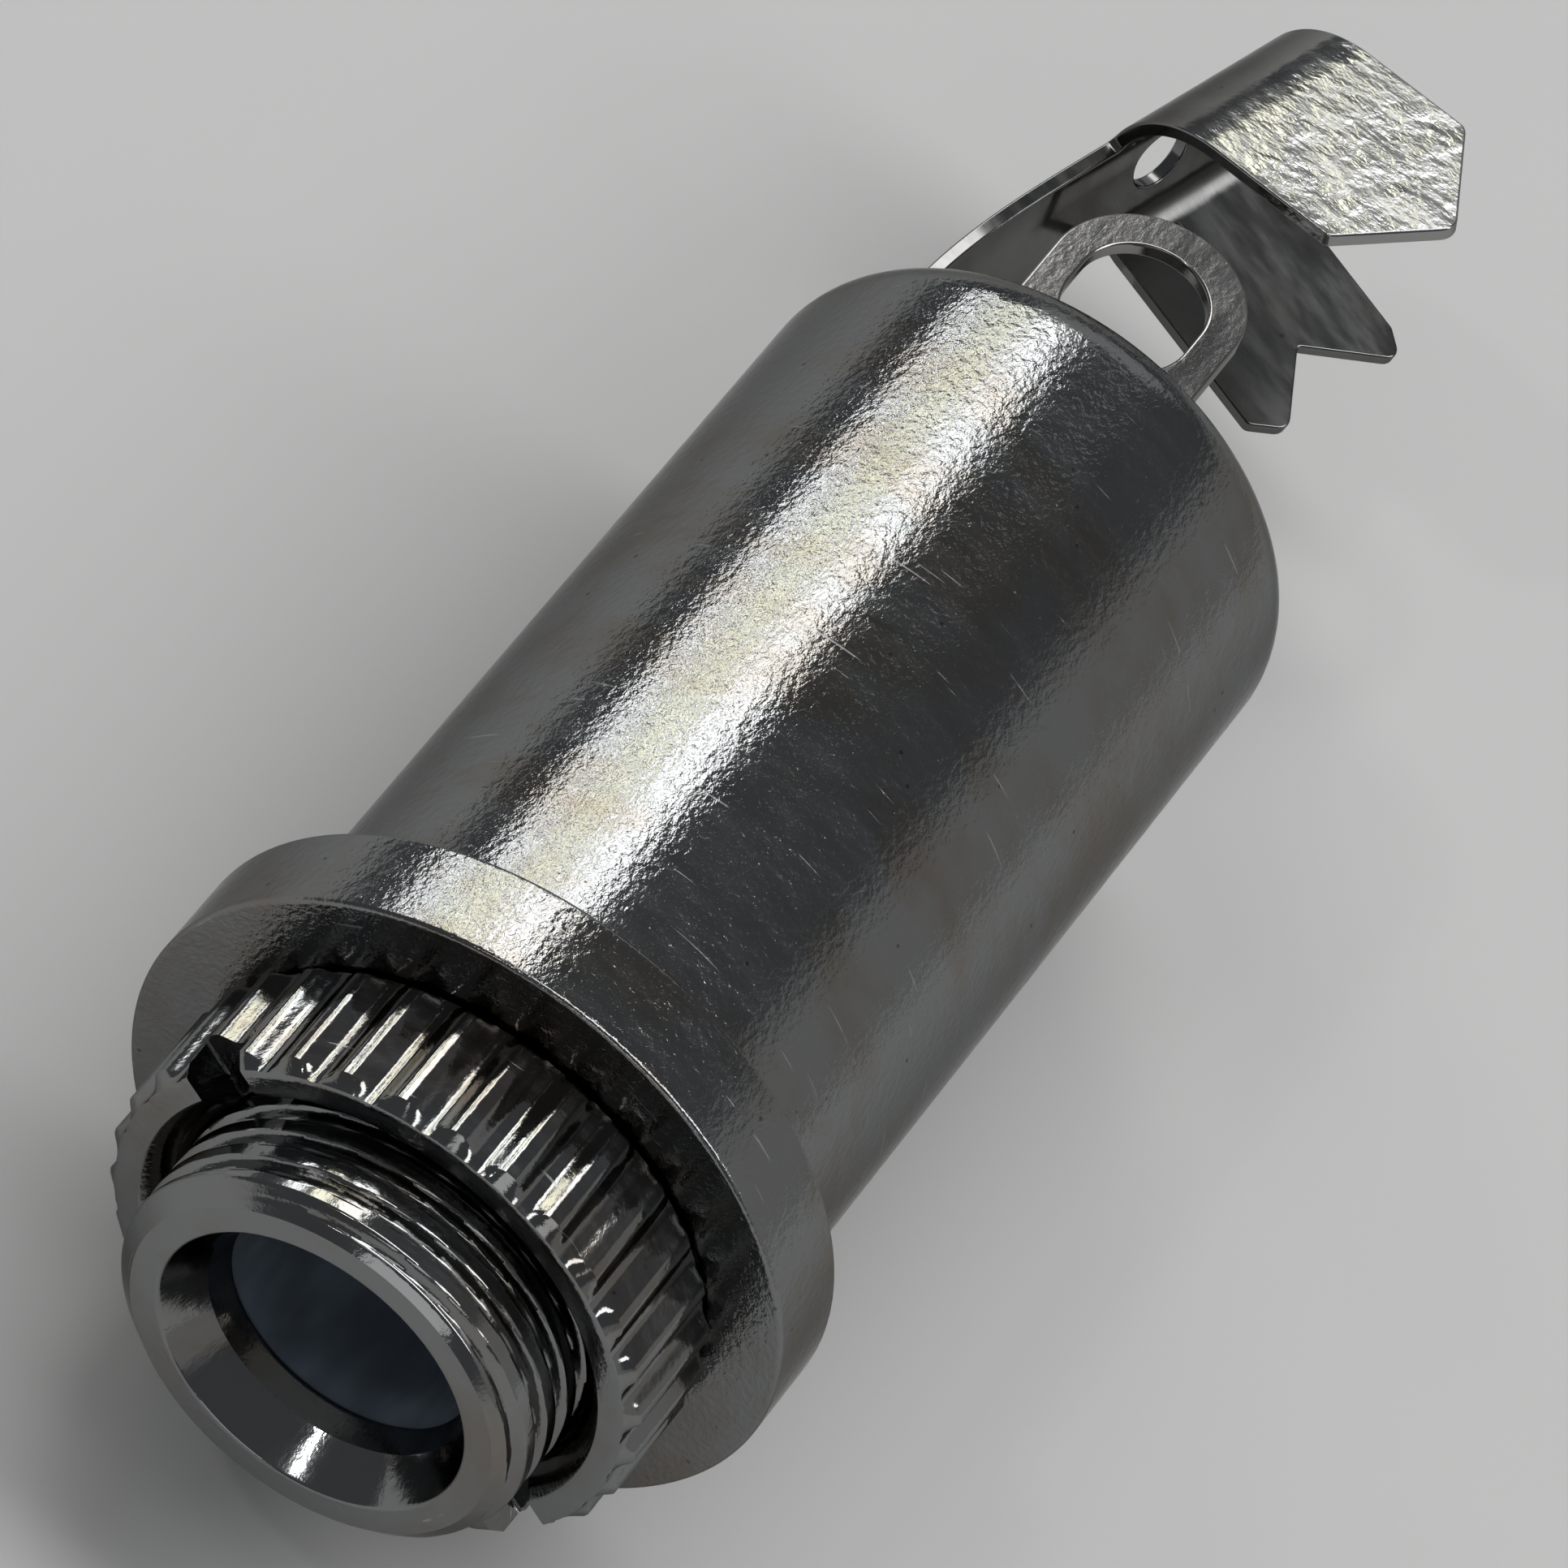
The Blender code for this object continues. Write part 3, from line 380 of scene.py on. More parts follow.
class Finish(Enum):
    """The finishes of this socket."""

    TURNED_NICKEL = PlatedMetal(
        "turned_nickel",
        *NICKEL,
        (0.08, 0.15),
        Grain.TURNED,
        relief_and_light_toward=(0.0, 1.0, 0.0),
        relief_and_light_from=-1.5,
        relief_and_light_to=-0.2,
        calm=0.3,
    )
    KNURLED_NICKEL = PlatedMetal(
        "knurled_nickel",
        *NICKEL,
        (0.08, 0.16),
        Grain.TURNED,
        swell_per_mm=2.0,
        swell_depth=0.004,
        speckle_depth=0.0045,
    )
    DRAWN_NICKEL = PlatedMetal("drawn_nickel", *NICKEL, (0.08, 0.15), Grain.DRAWN)
    TINNED_EYELET = PlatedMetal(
        "tinned_eyelet",
        (0.31, 0.305, 0.29),
        (0.26, 0.25, 0.23),
        (0.10, 0.17),
        Grain.ROLLED,
        across=(1.0, 0.0, 0.0),
        scratch_share=0.76,
        speckle_shape=(0.8, 1.0, 0.8),
        speckle_depth=0.0022,
        swell_depth=0.002,
    )
    TINNED_CLAMP = PlatedMetal(
        "tinned_clamp",
        (0.185, 0.186, 0.183),
        (0.145, 0.14, 0.132),
        (0.11, 0.20),
        Grain.ROLLED,
        across=(0.27, 0.96, 0.11),
        speckle_per_mm=5.5,
        speckle_shape=(0.5, 1.0, 0.5),
        speckle_depth=0.012,
        swell_per_mm=1.8,
        swell_depth=0.020,
        # Painted light: the colour stays dark below and lightens toward the upper side, a painted highlight
        # where the key lamps shine; the relief grows there too.
        relief_and_light_toward=(0.5, 0.0, 0.87),
        relief_and_light_from=0.2,
        relief_and_light_to=2.0,
        painted_light_share=1.0,
        bend_toward=(-0.012, -0.112, 0.994),
        bend_at=-3.72,
        bend_half=0.19,
        bend_dull=0.34,
        # Painted shade: the fold's colour is darkened, dimming the lamp's streak in the bend.
        bend_painted_shade=0.80,
    )
    SPRING_BRONZE = PlatedMetal(
        "spring_bronze",
        (0.40, 0.27, 0.14),
        (0.30, 0.20, 0.11),
        (0.22, 0.32),
        Grain.ROLLED,
        across=(1.0, 0.0, 0.0),
    )
    TINNED_RIVET = PlatedMetal(
        "tinned_rivet",
        (0.26, 0.26, 0.25),
        (0.20, 0.20, 0.19),
        (0.25, 0.35),
        Grain.ROLLED,
        across=(1.0, 0.0, 0.0),
    )
    # Painted light: the guide's pale bluish grey tint, far lighter than its black plastic, stands in for light
    # seen deep in the bore.
    GUIDE_BLACK = MouldedPlastic("guide_painted_light", (0.120, 0.150, 0.185), (0.40, 0.55))
    LINER_BLACK = MouldedPlastic("liner_black", (0.016, 0.016, 0.018), (0.50, 0.65))
    BLOCK_BLACK = MouldedPlastic("block_black", (0.014, 0.014, 0.016), (0.42, 0.58))

    def material(self) -> bpy.types.Material:
        """Returns this finish's material, made on first use."""
        return bpy.data.materials.get(self.value.name) or self.value.material()


# Meshes: turned grids and stamped sheets in millimetres.


def linked(name: str, data: bpy.types.ID) -> bpy.types.Object:
    """Puts a mesh, a lamp or a camera into the scene.

    Args:
        name: The object's name.
        data: What the object shows.

    Returns:
        The object.
    """
    made = bpy.data.objects.new(name, data)
    bpy.context.scene.collection.objects.link(made)
    return made


def new_piece(name: str, vertices: np.ndarray, faces: list[tuple[int, ...]], sharp: float) -> bpy.types.Object:
    """Makes a mesh object from points in millimetres.

    Args:
        name: The piece's name.
        vertices: One row for each vertex.
        faces: Vertex numbers of each face.
        sharp: Angle in degrees above which an edge stays sharp.

    Returns:
        The object, linked to the scene.
    """
    mesh = bpy.data.meshes.new(name)
    mesh.from_pydata(vertices.tolist(), [], faces)
    maker = bmesh.new()
    maker.from_mesh(mesh)
    bmesh.ops.recalc_face_normals(maker, faces=maker.faces)
    if maker.calc_volume(signed=True) < 0.0:
        bmesh.ops.reverse_faces(maker, faces=maker.faces)
    maker.transform(Matrix.Scale(MM, 4))
    maker.to_mesh(mesh)
    maker.free()
    mesh.shade_smooth()
    mesh.set_sharp_from_angle(angle=math.radians(sharp))
    return linked(name, mesh)


def ring_grid(rows: np.ndarray) -> tuple[np.ndarray, list[tuple[int, int, int, int]]]:
    """Joins a grid of points that closes on itself both ways.

    Args:
        rows: Points, as profile steps by columns round the axis by 3.

    Returns:
        Vertices and quads.
    """
    steps, columns = rows.shape[:2]
    number = np.arange(steps * columns).reshape(steps, columns)
    ahead = np.roll(number, -1, axis=0)
    quads = np.stack([number, np.roll(number, -1, axis=1), np.roll(ahead, -1, axis=1), ahead], axis=-1)
    return rows.reshape(-1, 3), [tuple(q) for q in quads.reshape(-1, 4).tolist()]


def rounded_loop(corners: Sequence[Vector3], steps: int = 5, support: float = 0.0) -> list[Point2]:
    """Rounds the corners of a closed loop.

    Args:
        corners: Each corner's two coordinates and its rounding; 0 keeps it sharp.
        steps: Pieces that each rounding is made of.
        support: Distance beyond each rounding at which a point holds the flat beside it.

    Returns:
        The loop's points.
    """
    points: list[Point2] = []
    for i, (a, b, fillet) in enumerate(corners):
        here = Vector((a, b))
        if fillet <= 0.0:
            points.append((a, b))
            continue
        back = (Vector(corners[i - 1][:2]) - here).normalized()
        ahead = (Vector(corners[(i + 1) % len(corners)][:2]) - here).normalized()
        half = back.angle(ahead) / 2
        reach = fillet / math.tan(half)
        centre = here + (back + ahead).normalized() * fillet / math.sin(half)
        first = here + back * reach - centre
        last = here + ahead * reach - centre
        turn = first.angle_signed(last)
        if support > 0.0:
            points.append(tuple(here + back * (reach + support)))
        for k in range(steps + 1):
            points.append(tuple(centre + Matrix.Rotation(-turn * k / steps, 2) @ first))
        if support > 0.0:
            points.append(tuple(here + ahead * (reach + support)))
    return points


def split_long(loop: Sequence[Point2], longest: float, closed: bool = True) -> list[Point2]:
    """Adds points to a line so that no side is longer than a limit.

    Args:
        loop: The line's points.
        longest: Longest side allowed.
        closed: Whether the last point joins the first.

    Returns:
        The line with the added points.
    """
    points: list[Point2] = []
    for start, end in zip(loop, [*loop[1:], loop[0]]):
        if not closed and end is loop[0]:
            return [*points, start]
        count = max(1, math.ceil(math.dist(start, end) / longest))
        points += [tuple(np.add(start, np.subtract(end, start) * k / count)) for k in range(count)]
    return points


def spun(y: np.ndarray, radii: np.ndarray, angle: np.ndarray) -> np.ndarray:
    """Spins radii about the Y axis.

    Args:
        y: Place of each profile step along the axis.
        radii: One row for each step, with one radius or one for each angle.
        angle: Angles round the axis, in radians.

    Returns:
        Points, as profile steps by angles by 3.
    """
    x, z = radii * np.sin(angle), radii * np.cos(angle)
    return np.stack([x, np.broadcast_to(y[:, None], x.shape), z], axis=-1)


def whole_turn(count: int) -> np.ndarray:
    """Even angles round the axis, in radians."""
    return np.linspace(0.0, 2 * math.pi, count, endpoint=False)


def smooth_wave(seed: int, count: int, terms: int) -> Callable[[np.ndarray], np.ndarray]:
    """A smooth random curve that repeats every full turn.

    Args:
        seed: Fixes the curve.
        count: Lowest number of waves in a turn.
        terms: Number of waves that are added up.

    Returns:
        A function of the angle in radians, about -1 to 1.
    """
    draw = np.random.default_rng(seed)
    phases = draw.uniform(0.0, 2 * math.pi, terms)
    sizes = draw.uniform(0.4, 1.0, terms)

    def wave(angle: np.ndarray) -> np.ndarray:
        """Reads the curve."""
        total = sum(s * np.sin((count + i) * angle + p) for i, (s, p) in enumerate(zip(sizes, phases)))
        return total / sizes.sum()

    return wave


def circle(centre: Point2, radius: float, count: int = 48) -> list[Point2]:
    """Points round a circle.

    Args:
        centre: Its centre.
        radius: Its radius.
        count: Number of points.

    Returns:
        The points, in order.
    """
    turns = [2 * math.pi * i / count for i in range(count)]
    return [(centre[0] + radius * math.cos(t), centre[1] + radius * math.sin(t)) for t in turns]


def arc(centre: Point2, radius: float, start: float, end: float, step: float = 4.0) -> list[Point2]:
    """Points on a circular arc, both ends included.

    Args:
        centre: Its centre.
        radius: Its radius.
        start: First angle in degrees.
        end: Last angle in degrees.
        step: Largest angle between points.

    Returns:
        The points, in order.
    """
    count = max(2, math.ceil(abs(end - start) / step))
    angles = [math.radians(start + (end - start) * i / count) for i in range(count + 1)]
    return [(centre[0] + radius * math.cos(a), centre[1] + radius * math.sin(a)) for a in angles]


def inside(points: np.ndarray, loop: Sequence[Point2]) -> np.ndarray:
    """Even-odd test of points against a closed loop.

    Args:
        points: One row for each point.
        loop: The loop's corners.

    Returns:
        True for each point within the loop.
    """
    odd = np.zeros(len(points), bool)
    x, y = points[:, 0], points[:, 1]
    for (ax, ay), (bx, by) in zip(loop, [*loop[1:], loop[0]]):
        if ay != by:
            odd ^= ((ay > y) != (by > y)) & (x < ax + (y - ay) * (bx - ax) / (by - ay))
    return odd


@dataclass
class StampedSheet:
    """Sheet metal cut to an outline, with softened edges, then laid where place() says."""

    outline: list[Point2]
    holes: list[list[Point2]]
    place: Place
    thickness: float
    columns: Sequence[float]
    rows: Sequence[float]
    edge_round: float = 0.035
    side: float = 0.14
    spread: float = 0.055
    sliver: float = 1e-5

    def inset(self, loop: list[Point2], inward: float) -> list[Point2]:
        """Moves a loop's points into the metal.

        Args:
            loop: The loop, anticlockwise for the outline and clockwise for a hole.
            inward: How far.

        Returns:
            The moved points.
        """
        points = np.array(loop)
        back = points - np.roll(points, 1, axis=0)
        ahead = np.roll(points, -1, axis=0) - points
        back /= np.linalg.norm(back, axis=1)[:, None]
        ahead /= np.linalg.norm(ahead, axis=1)[:, None]
        first = np.stack([-back[:, 1], back[:, 0]], axis=1)
        last = np.stack([-ahead[:, 1], ahead[:, 0]], axis=1)
        share = np.maximum(1.0 + (first * last).sum(axis=1), 0.5)
        return [tuple(p) for p in points + (first + last) / share[:, None] * inward]

    def blank(self) -> tuple[list[Point2], list[list[int]], list[tuple[int, int, int]], list[list[Point2]]]:
        """Fills the inset outline with triangles.

        Returns:
            The points, the numbers of each loop's points, the triangles and the true loops.
        """
        loops = []
        for i, loop in enumerate([self.outline, *self.holes]):
            area = sum(a[0] * b[1] - b[0] * a[1] for a, b in zip(loop, [*loop[1:], loop[0]]))
            wanted = loop if (area > 0) == (i == 0) else loop[::-1]
            loops.append(split_long(wanted, self.side))
        inner = [self.inset(loop, self.edge_round) for loop in loops]
        edge_points = np.array([p for loop in inner for p in loop])
        grid = np.array([(u, v) for u in self.columns for v in self.rows])
        grid = grid[inside(grid, inner[0])]
        for hole in inner[1:]:
            grid = grid[~inside(grid, hole)]
        near = np.array([np.min(((edge_points - g) ** 2).sum(axis=1)) for g in grid]) > self.spread**2
        grid = grid[near]
        points = [Vector(p) for p in edge_points] + [Vector(p) for p in grid]
        edges = []
        first = 0
        numbers = []
        for loop in inner:
            count = len(loop)
            edges += [(first + i, first + (i + 1) % count) for i in range(count)]
            numbers.append(list(range(first, first + count)))
            first += count
        flat, _, faces, origins, *_ = delaunay_2d_cdt(points, edges, [], 0, 1e-6)
        renumbered = {old: new for new, olds in enumerate(origins) for old in olds}
        uv = np.array([tuple(p) for p in flat])
        triangles = np.array([tuple(f) for f in faces if len(f) == 3])
        corners = uv[triangles]
        ahead = corners[:, 1] - corners[:, 0]
        aside = corners[:, 2] - corners[:, 0]
        sliver = np.abs(ahead[:, 0] * aside[:, 1] - ahead[:, 1] * aside[:, 0]) < self.sliver
        middles = corners.mean(axis=1)
        keep = inside(middles, inner[0]) & ~sliver
        for hole in inner[1:]:
            keep &= ~inside(middles, hole)
        numbers = [[renumbered[n] for n in loop] for loop in numbers]
        return [tuple(p) for p in uv], numbers, [tuple(t) for t in triangles[keep]], loops

    def solid(self) -> tuple[np.ndarray, list[tuple[int, ...]], np.ndarray]:
        """Gives the sheet its thickness and its softened edges.

        Returns:
            Vertices in millimetres, faces, and the normal at each vertex.
        """
        uv, numbers, triangles, loops = self.blank()
        half = self.thickness / 2
        vertices: list[Vector] = []
        normals: list[Vector] = []
        top: dict[int, int] = {}
        bottom: dict[int, int] = {}
        for i in sorted({i for t in triangles for i in t}):
            point, normal = self.place(*uv[i])
            top[i] = len(vertices)
            bottom[i] = top[i] + 1
            vertices += [point + normal * half, point - normal * half]
            normals += [normal, -normal]
        faces: list[tuple[int, ...]] = [tuple(top[i] for i in t) for t in triangles]
        faces += [tuple(bottom[i] for i in reversed(t)) for t in triangles]
        turns = [math.radians(a) for a in (30.0, 60.0, 90.0)]
        for ring, loop in zip(numbers, loops):
            strips = [[top[i] for i in ring]]
            levels = [(half - self.edge_round * (1 - math.cos(t)), math.sin(t), math.cos(t)) for t in turns]
            levels += [(-height, reach, -tilt) for height, reach, tilt in reversed(levels)]
            for height, reach, tilt in levels:
                strip = []
                for i, edge in zip(ring, loop):
                    at = np.add(uv[i], np.subtract(edge, uv[i]) * reach)
                    point, normal = self.place(float(at[0]), float(at[1]))
                    outward = (self.place(*edge)[0] - self.place(*uv[i])[0]).normalized()
                    strip.append(len(vertices))
                    vertices.append(point + normal * height)
                    normals.append((normal * tilt + outward * reach).normalized())
                strips.append(strip)
            strips.append([bottom[i] for i in ring])
            for upper, lower in zip(strips, strips[1:]):
                faces += [(upper[k - 1], lower[k - 1], lower[k], upper[k]) for k in [*range(1, len(ring)), 0]]
        return np.array([tuple(v) for v in vertices]), faces, np.array([tuple(n) for n in normals])

    def piece(self, name: str) -> bpy.types.Object:
        """Makes the sheet's object, with the normals of its smooth surface.

        Args:
            name: The piece's name.

        Returns:
            The object, linked to the scene.
        """
        vertices, faces, normals = self.solid()
        piece = new_piece(name, vertices, faces, 180.0)
        piece.data.normals_split_custom_set_from_vertices(normals.tolist())
        return piece


def dress(piece: bpy.types.Object, finish: Finish) -> None:
    """Gives a piece one finish.

    Args:
        piece: The object.
        finish: The finish.
    """
    piece.data.materials.clear()
    piece.data.materials.append(finish.material())


# Pieces: one class for each metal sub-assembly.


@dataclass
class ThreadedBushing:
    """Threaded nose, flange and spigot, turned from one bar."""

    columns: int = 256
    thread_r: float = 3.0
    pitch: float = 0.5
    thread_depth: float = 0.17
    thread_turn: float = 0.158
    crest_half: float = 0.21
    flank: float = 0.19
    nose_y: float = -3.45
    nose_face_r: float = 2.70
    chamfer: float = 0.26
    relief_r: float = 2.72
    relief_y: float = -0.45
    relief_slope: float = 0.20
    flange_r: float = 4.909
    flange_y: float = 1.388
    flange_round: float = 0.06
    spigot_r: float = 3.70
    spigot_y: float = 4.388
    recess_r: float = 2.47
    lip_back_y: float = -2.40
    bore_r: float = 1.80
    lead_in_y: float = -2.80
    lead_in_r: float = 1.93
    mouth_r: float = 2.286
    inner_round: float = 0.02
    lip_round: float = 0.03
    mouth_round: float = 0.05
    spigot_round: float = 0.15
    row_step: float = 0.021
    longest: float = 0.35

    def rows(self) -> np.ndarray:
        """Points of the turned piece with its helical thread.

        Returns:
            Points, as profile steps by columns by 3.
        """
        corners = [
            (0.0, self.relief_r, self.lip_round),
            (0.0, self.flange_r, self.flange_round),
            (self.flange_y, self.flange_r, self.flange_round),
            (self.flange_y, self.spigot_r, self.inner_round),
            (self.spigot_y, self.spigot_r, self.spigot_round),
            (self.spigot_y, self.recess_r, self.inner_round),
            (self.lip_back_y, self.recess_r, self.inner_round),
            (self.lip_back_y, self.bore_r, self.lip_round),
            (self.lead_in_y, self.lead_in_r, self.lip_round),
            (self.nose_y, self.mouth_r, self.mouth_round),
            (self.nose_y, self.nose_face_r, 0.0),
        ]
        smooth = rounded_loop(corners, support=self.lip_round)
        nose = np.arange(self.nose_y + self.row_step, self.relief_y + self.relief_slope, self.row_step)
        start = self.nose_face_r + (nose - self.nose_y) * (self.thread_r - self.nose_face_r) / self.chamfer
        slope = (self.thread_r - self.relief_r) / self.relief_slope
        end = self.relief_r + (self.relief_y + self.relief_slope - nose) * slope
        hull = np.minimum(np.minimum(start, end), self.thread_r)
        angle = whole_turn(self.columns)
        y, radii = np.array(split_long(smooth, self.longest, closed=False)).T
        phase = (nose[:, None] / self.pitch - angle[None, :] / (2 * math.pi) + self.thread_turn) % 1.0
        away = np.minimum(phase, 1.0 - phase)
        drop = np.clip((away - self.crest_half) / self.flank, 0.0, 1.0)
        drop = drop * drop * (3 - 2 * drop)
        thread = np.minimum(hull[:, None], self.thread_r - self.thread_depth * drop)
        return np.concatenate([spun(y, radii[:, None], angle), spun(nose, thread, angle)])

    def build(self) -> bpy.types.Object:
        """Builds the piece that stands for the bushing."""
        vertices, faces = ring_grid(self.rows())
        piece = new_piece("nose_and_flange", vertices, faces, 35.0)
        dress(piece, Finish.TURNED_NICKEL)
        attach(piece, "socket")
        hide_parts("front_bushing")
        return piece


@dataclass
class RingNut:
    """Round nut with a straight knurl and a spanner slot across its face."""

    outer_r: float = 3.99
    bore_r: float = 3.04
    front_y: float = -2.087
    back_y: float = -0.05
    countersink: float = 0.39
    back_chamfer: float = 0.15
    front_bevel: float = 0.18
    rear_bevel: float = 0.20
    teeth: int = 30
    columns_per_tooth: int = 28
    knurl_depth: float = 0.19
    knurl_phase: float = -6.5
    crest_share: float = 0.10
    root_share: float = 0.08
    slot_width: float = 1.0
    slot_depth: float = 0.6
    slot_angle: float = 118.2
    unevenness: float = 0.012
    crown_drop: float = 0.004
    edge_soft: float = 0.01
    edge_hold: float = 0.03
    sharp: float = 22.0

    def edge_radius(self, angle: np.ndarray, y: np.ndarray) -> np.ndarray:
        """Outer radius with the knurl's grooves.

        Args:
            angle: Angles in degrees.
            y: Places along the axis.

        Returns:
            The radius at each angle and place.
        """
        pitch = 360.0 / self.teeth
        share = ((angle - self.knurl_phase) / pitch) % 1.0
        away = np.abs(np.minimum(share, 1.0 - share)) * 2
        flank = np.clip((away - self.crest_share) / (1.0 - self.crest_share - self.root_share), 0.0, 1.0)
        groove = flank * flank * (3 - 2 * flank)
        radians = np.radians(angle)
        rough = smooth_wave(5, 40, 25)(radians)[:, None] * 0.5
        rough = rough + smooth_wave(8, 17, 20)(radians[:, None] + y[None, :] * 0.9) * 0.5
        crown = self.outer_r - self.crown_drop - self.unevenness * np.abs(rough)
        return crown - self.knurl_depth * groove[:, None]

    def build(self) -> bpy.types.Object:
        """Builds the piece that stands for the nut."""
        angle = np.linspace(0.0, 360.0, self.teeth * self.columns_per_tooth, endpoint=False)
        front, back = self.front_y, self.back_y
        side_y = np.linspace(front + self.front_bevel, back - self.rear_bevel, 22)
        side = self.edge_radius(angle, side_y)
        face_r = np.minimum(side[:, 0], self.outer_r - self.front_bevel)
        back_r = np.minimum(side[:, -1], self.outer_r - self.rear_bevel)
        mouth_r = self.bore_r + self.countersink
        rear_r = self.bore_r + self.back_chamfer
        bore_y = np.linspace(back - self.back_chamfer, front + self.countersink, 5)
        soft, hold = self.edge_soft, self.edge_hold
        bevel, rear = self.front_bevel - soft, self.rear_bevel
        face_run, first, last = face_r - mouth_r - 0.05 - hold, side[:, 0], side[:, -1]
        steps: list[tuple[float, np.ndarray | float]] = [
            (front + 0.012, mouth_r - 0.012),
            (front, mouth_r + 0.015),
            *[(front, mouth_r + 0.05 + face_run * share) for share in (0.0, 0.35, 0.7, 1.0)],
            *[(front + soft + bevel * share, face_r + (first - face_r) * share) for share in (0.0, 0.5)],
            *zip(side_y.tolist(), side.T),
            *[(back - rear * (1 - t), last + (back_r - last) * t**1.6) for t in (0.35, 0.7, 0.92)],
            (back, back_r - hold),
            (back, rear_r + hold),
            (back - soft, rear_r - soft),
            *[(y, self.bore_r) for y in bore_y.tolist()],
        ]
        radii = np.stack([np.broadcast_to(r, angle.shape) for _, r in steps])
        vertices, faces = ring_grid(spun(np.array([y for y, _ in steps]), radii, np.radians(angle)))
        piece = new_piece("ring_nut", vertices, faces, self.sharp)
        self.cut_slot(piece)
        dress(piece, Finish.KNURLED_NICKEL)
        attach(piece, "nut")
        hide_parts("mounting_nut")
        return piece

    def cut_slot(self, piece: bpy.types.Object) -> None:
        """Cuts the spanner slot through the nut's face.

        Args:
            piece: The nut.
        """
        half, depth = self.slot_width / 2, self.slot_depth
        beyond, low = 1.0, 0.06
        corners = [(-half, -beyond, 0.0), (half, -beyond, 0.0), (half, depth, low), (-half, depth, low)]
        section = rounded_loop(corners, 4)
        reach = self.outer_r + beyond
        points = [(x, self.front_y + y, z) for z in (-reach, reach) for x, y in section]
        count = len(section)
        ahead = [*range(1, count), 0]
        faces: list[tuple[int, ...]] = [(i, n, count + n, count + i) for i, n in enumerate(ahead)]
        faces += [tuple(reversed(range(count))), tuple(range(count, 2 * count))]
        cutter = new_piece("slot_cutter", np.array(points), faces, 30.0)
        cutter.data.transform(Matrix.Rotation(math.radians(self.slot_angle), 4, "Y"))
        modifier = piece.modifiers.new("slot", "BOOLEAN")
        modifier.operation = "DIFFERENCE"
        modifier.solver = "EXACT"
        modifier.object = cutter
        bpy.context.view_layer.update()
        graph = bpy.context.evaluated_depsgraph_get()
        cut = bpy.data.meshes.new_from_object(piece.evaluated_get(graph))
        if not cut.polygons:
            raise RuntimeError("the slot's cut left nothing of the nut")
        piece.modifiers.clear()
        piece.data = cut
        bpy.data.objects.remove(cutter)
        cut.shade_smooth()
        cut.set_sharp_from_angle(angle=math.radians(self.sharp))


@dataclass
class RolledBarrel:
    """Drawn barrel with its rear edge rolled in."""

    columns: int = 256
    outer_r: float = 4.08
    wall: float = 0.35
    roll_r: float = 0.894
    front_y: float = 1.418
    end_y: float = 15.458
    longest: float = 0.30

    def build(self) -> bpy.types.Object:
        """Builds the piece that stands for the barrel."""
        opening = self.outer_r - self.roll_r
        centre = (self.end_y - self.roll_r, opening)
        outer = arc(centre, self.roll_r, 90.0, 8.0, 5.0)
        lip = [
            (self.end_y, opening + 0.05),
            (self.end_y - 0.02, opening + 0.012),
            (self.end_y - 0.07, opening),
            (self.end_y - self.wall + 0.05, opening),
            (self.end_y - self.wall, opening + 0.03),
        ]
        inner = arc(centre, self.roll_r - self.wall, 8.0, 90.0, 12.0)
        bore = self.outer_r - self.wall
        front = [
            (self.front_y + 0.03, bore),
            (self.front_y, bore + 0.03),
            (self.front_y, self.outer_r - 0.05),
            (self.front_y + 0.012, self.outer_r - 0.015),
            (self.front_y + 0.05, self.outer_r),
            (self.front_y + 0.10, self.outer_r),
        ]
        y, radii = np.array(split_long([*outer, *lip, *inner, *front], self.longest)).T
        vertices, faces = ring_grid(spun(y, radii[:, None], whole_turn(self.columns)))
        piece = new_piece("barrel_shell", vertices, faces, 42.0)
        dress(piece, Finish.DRAWN_NICKEL)
        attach(piece, "socket")
        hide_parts("barrel_can")
        return piece


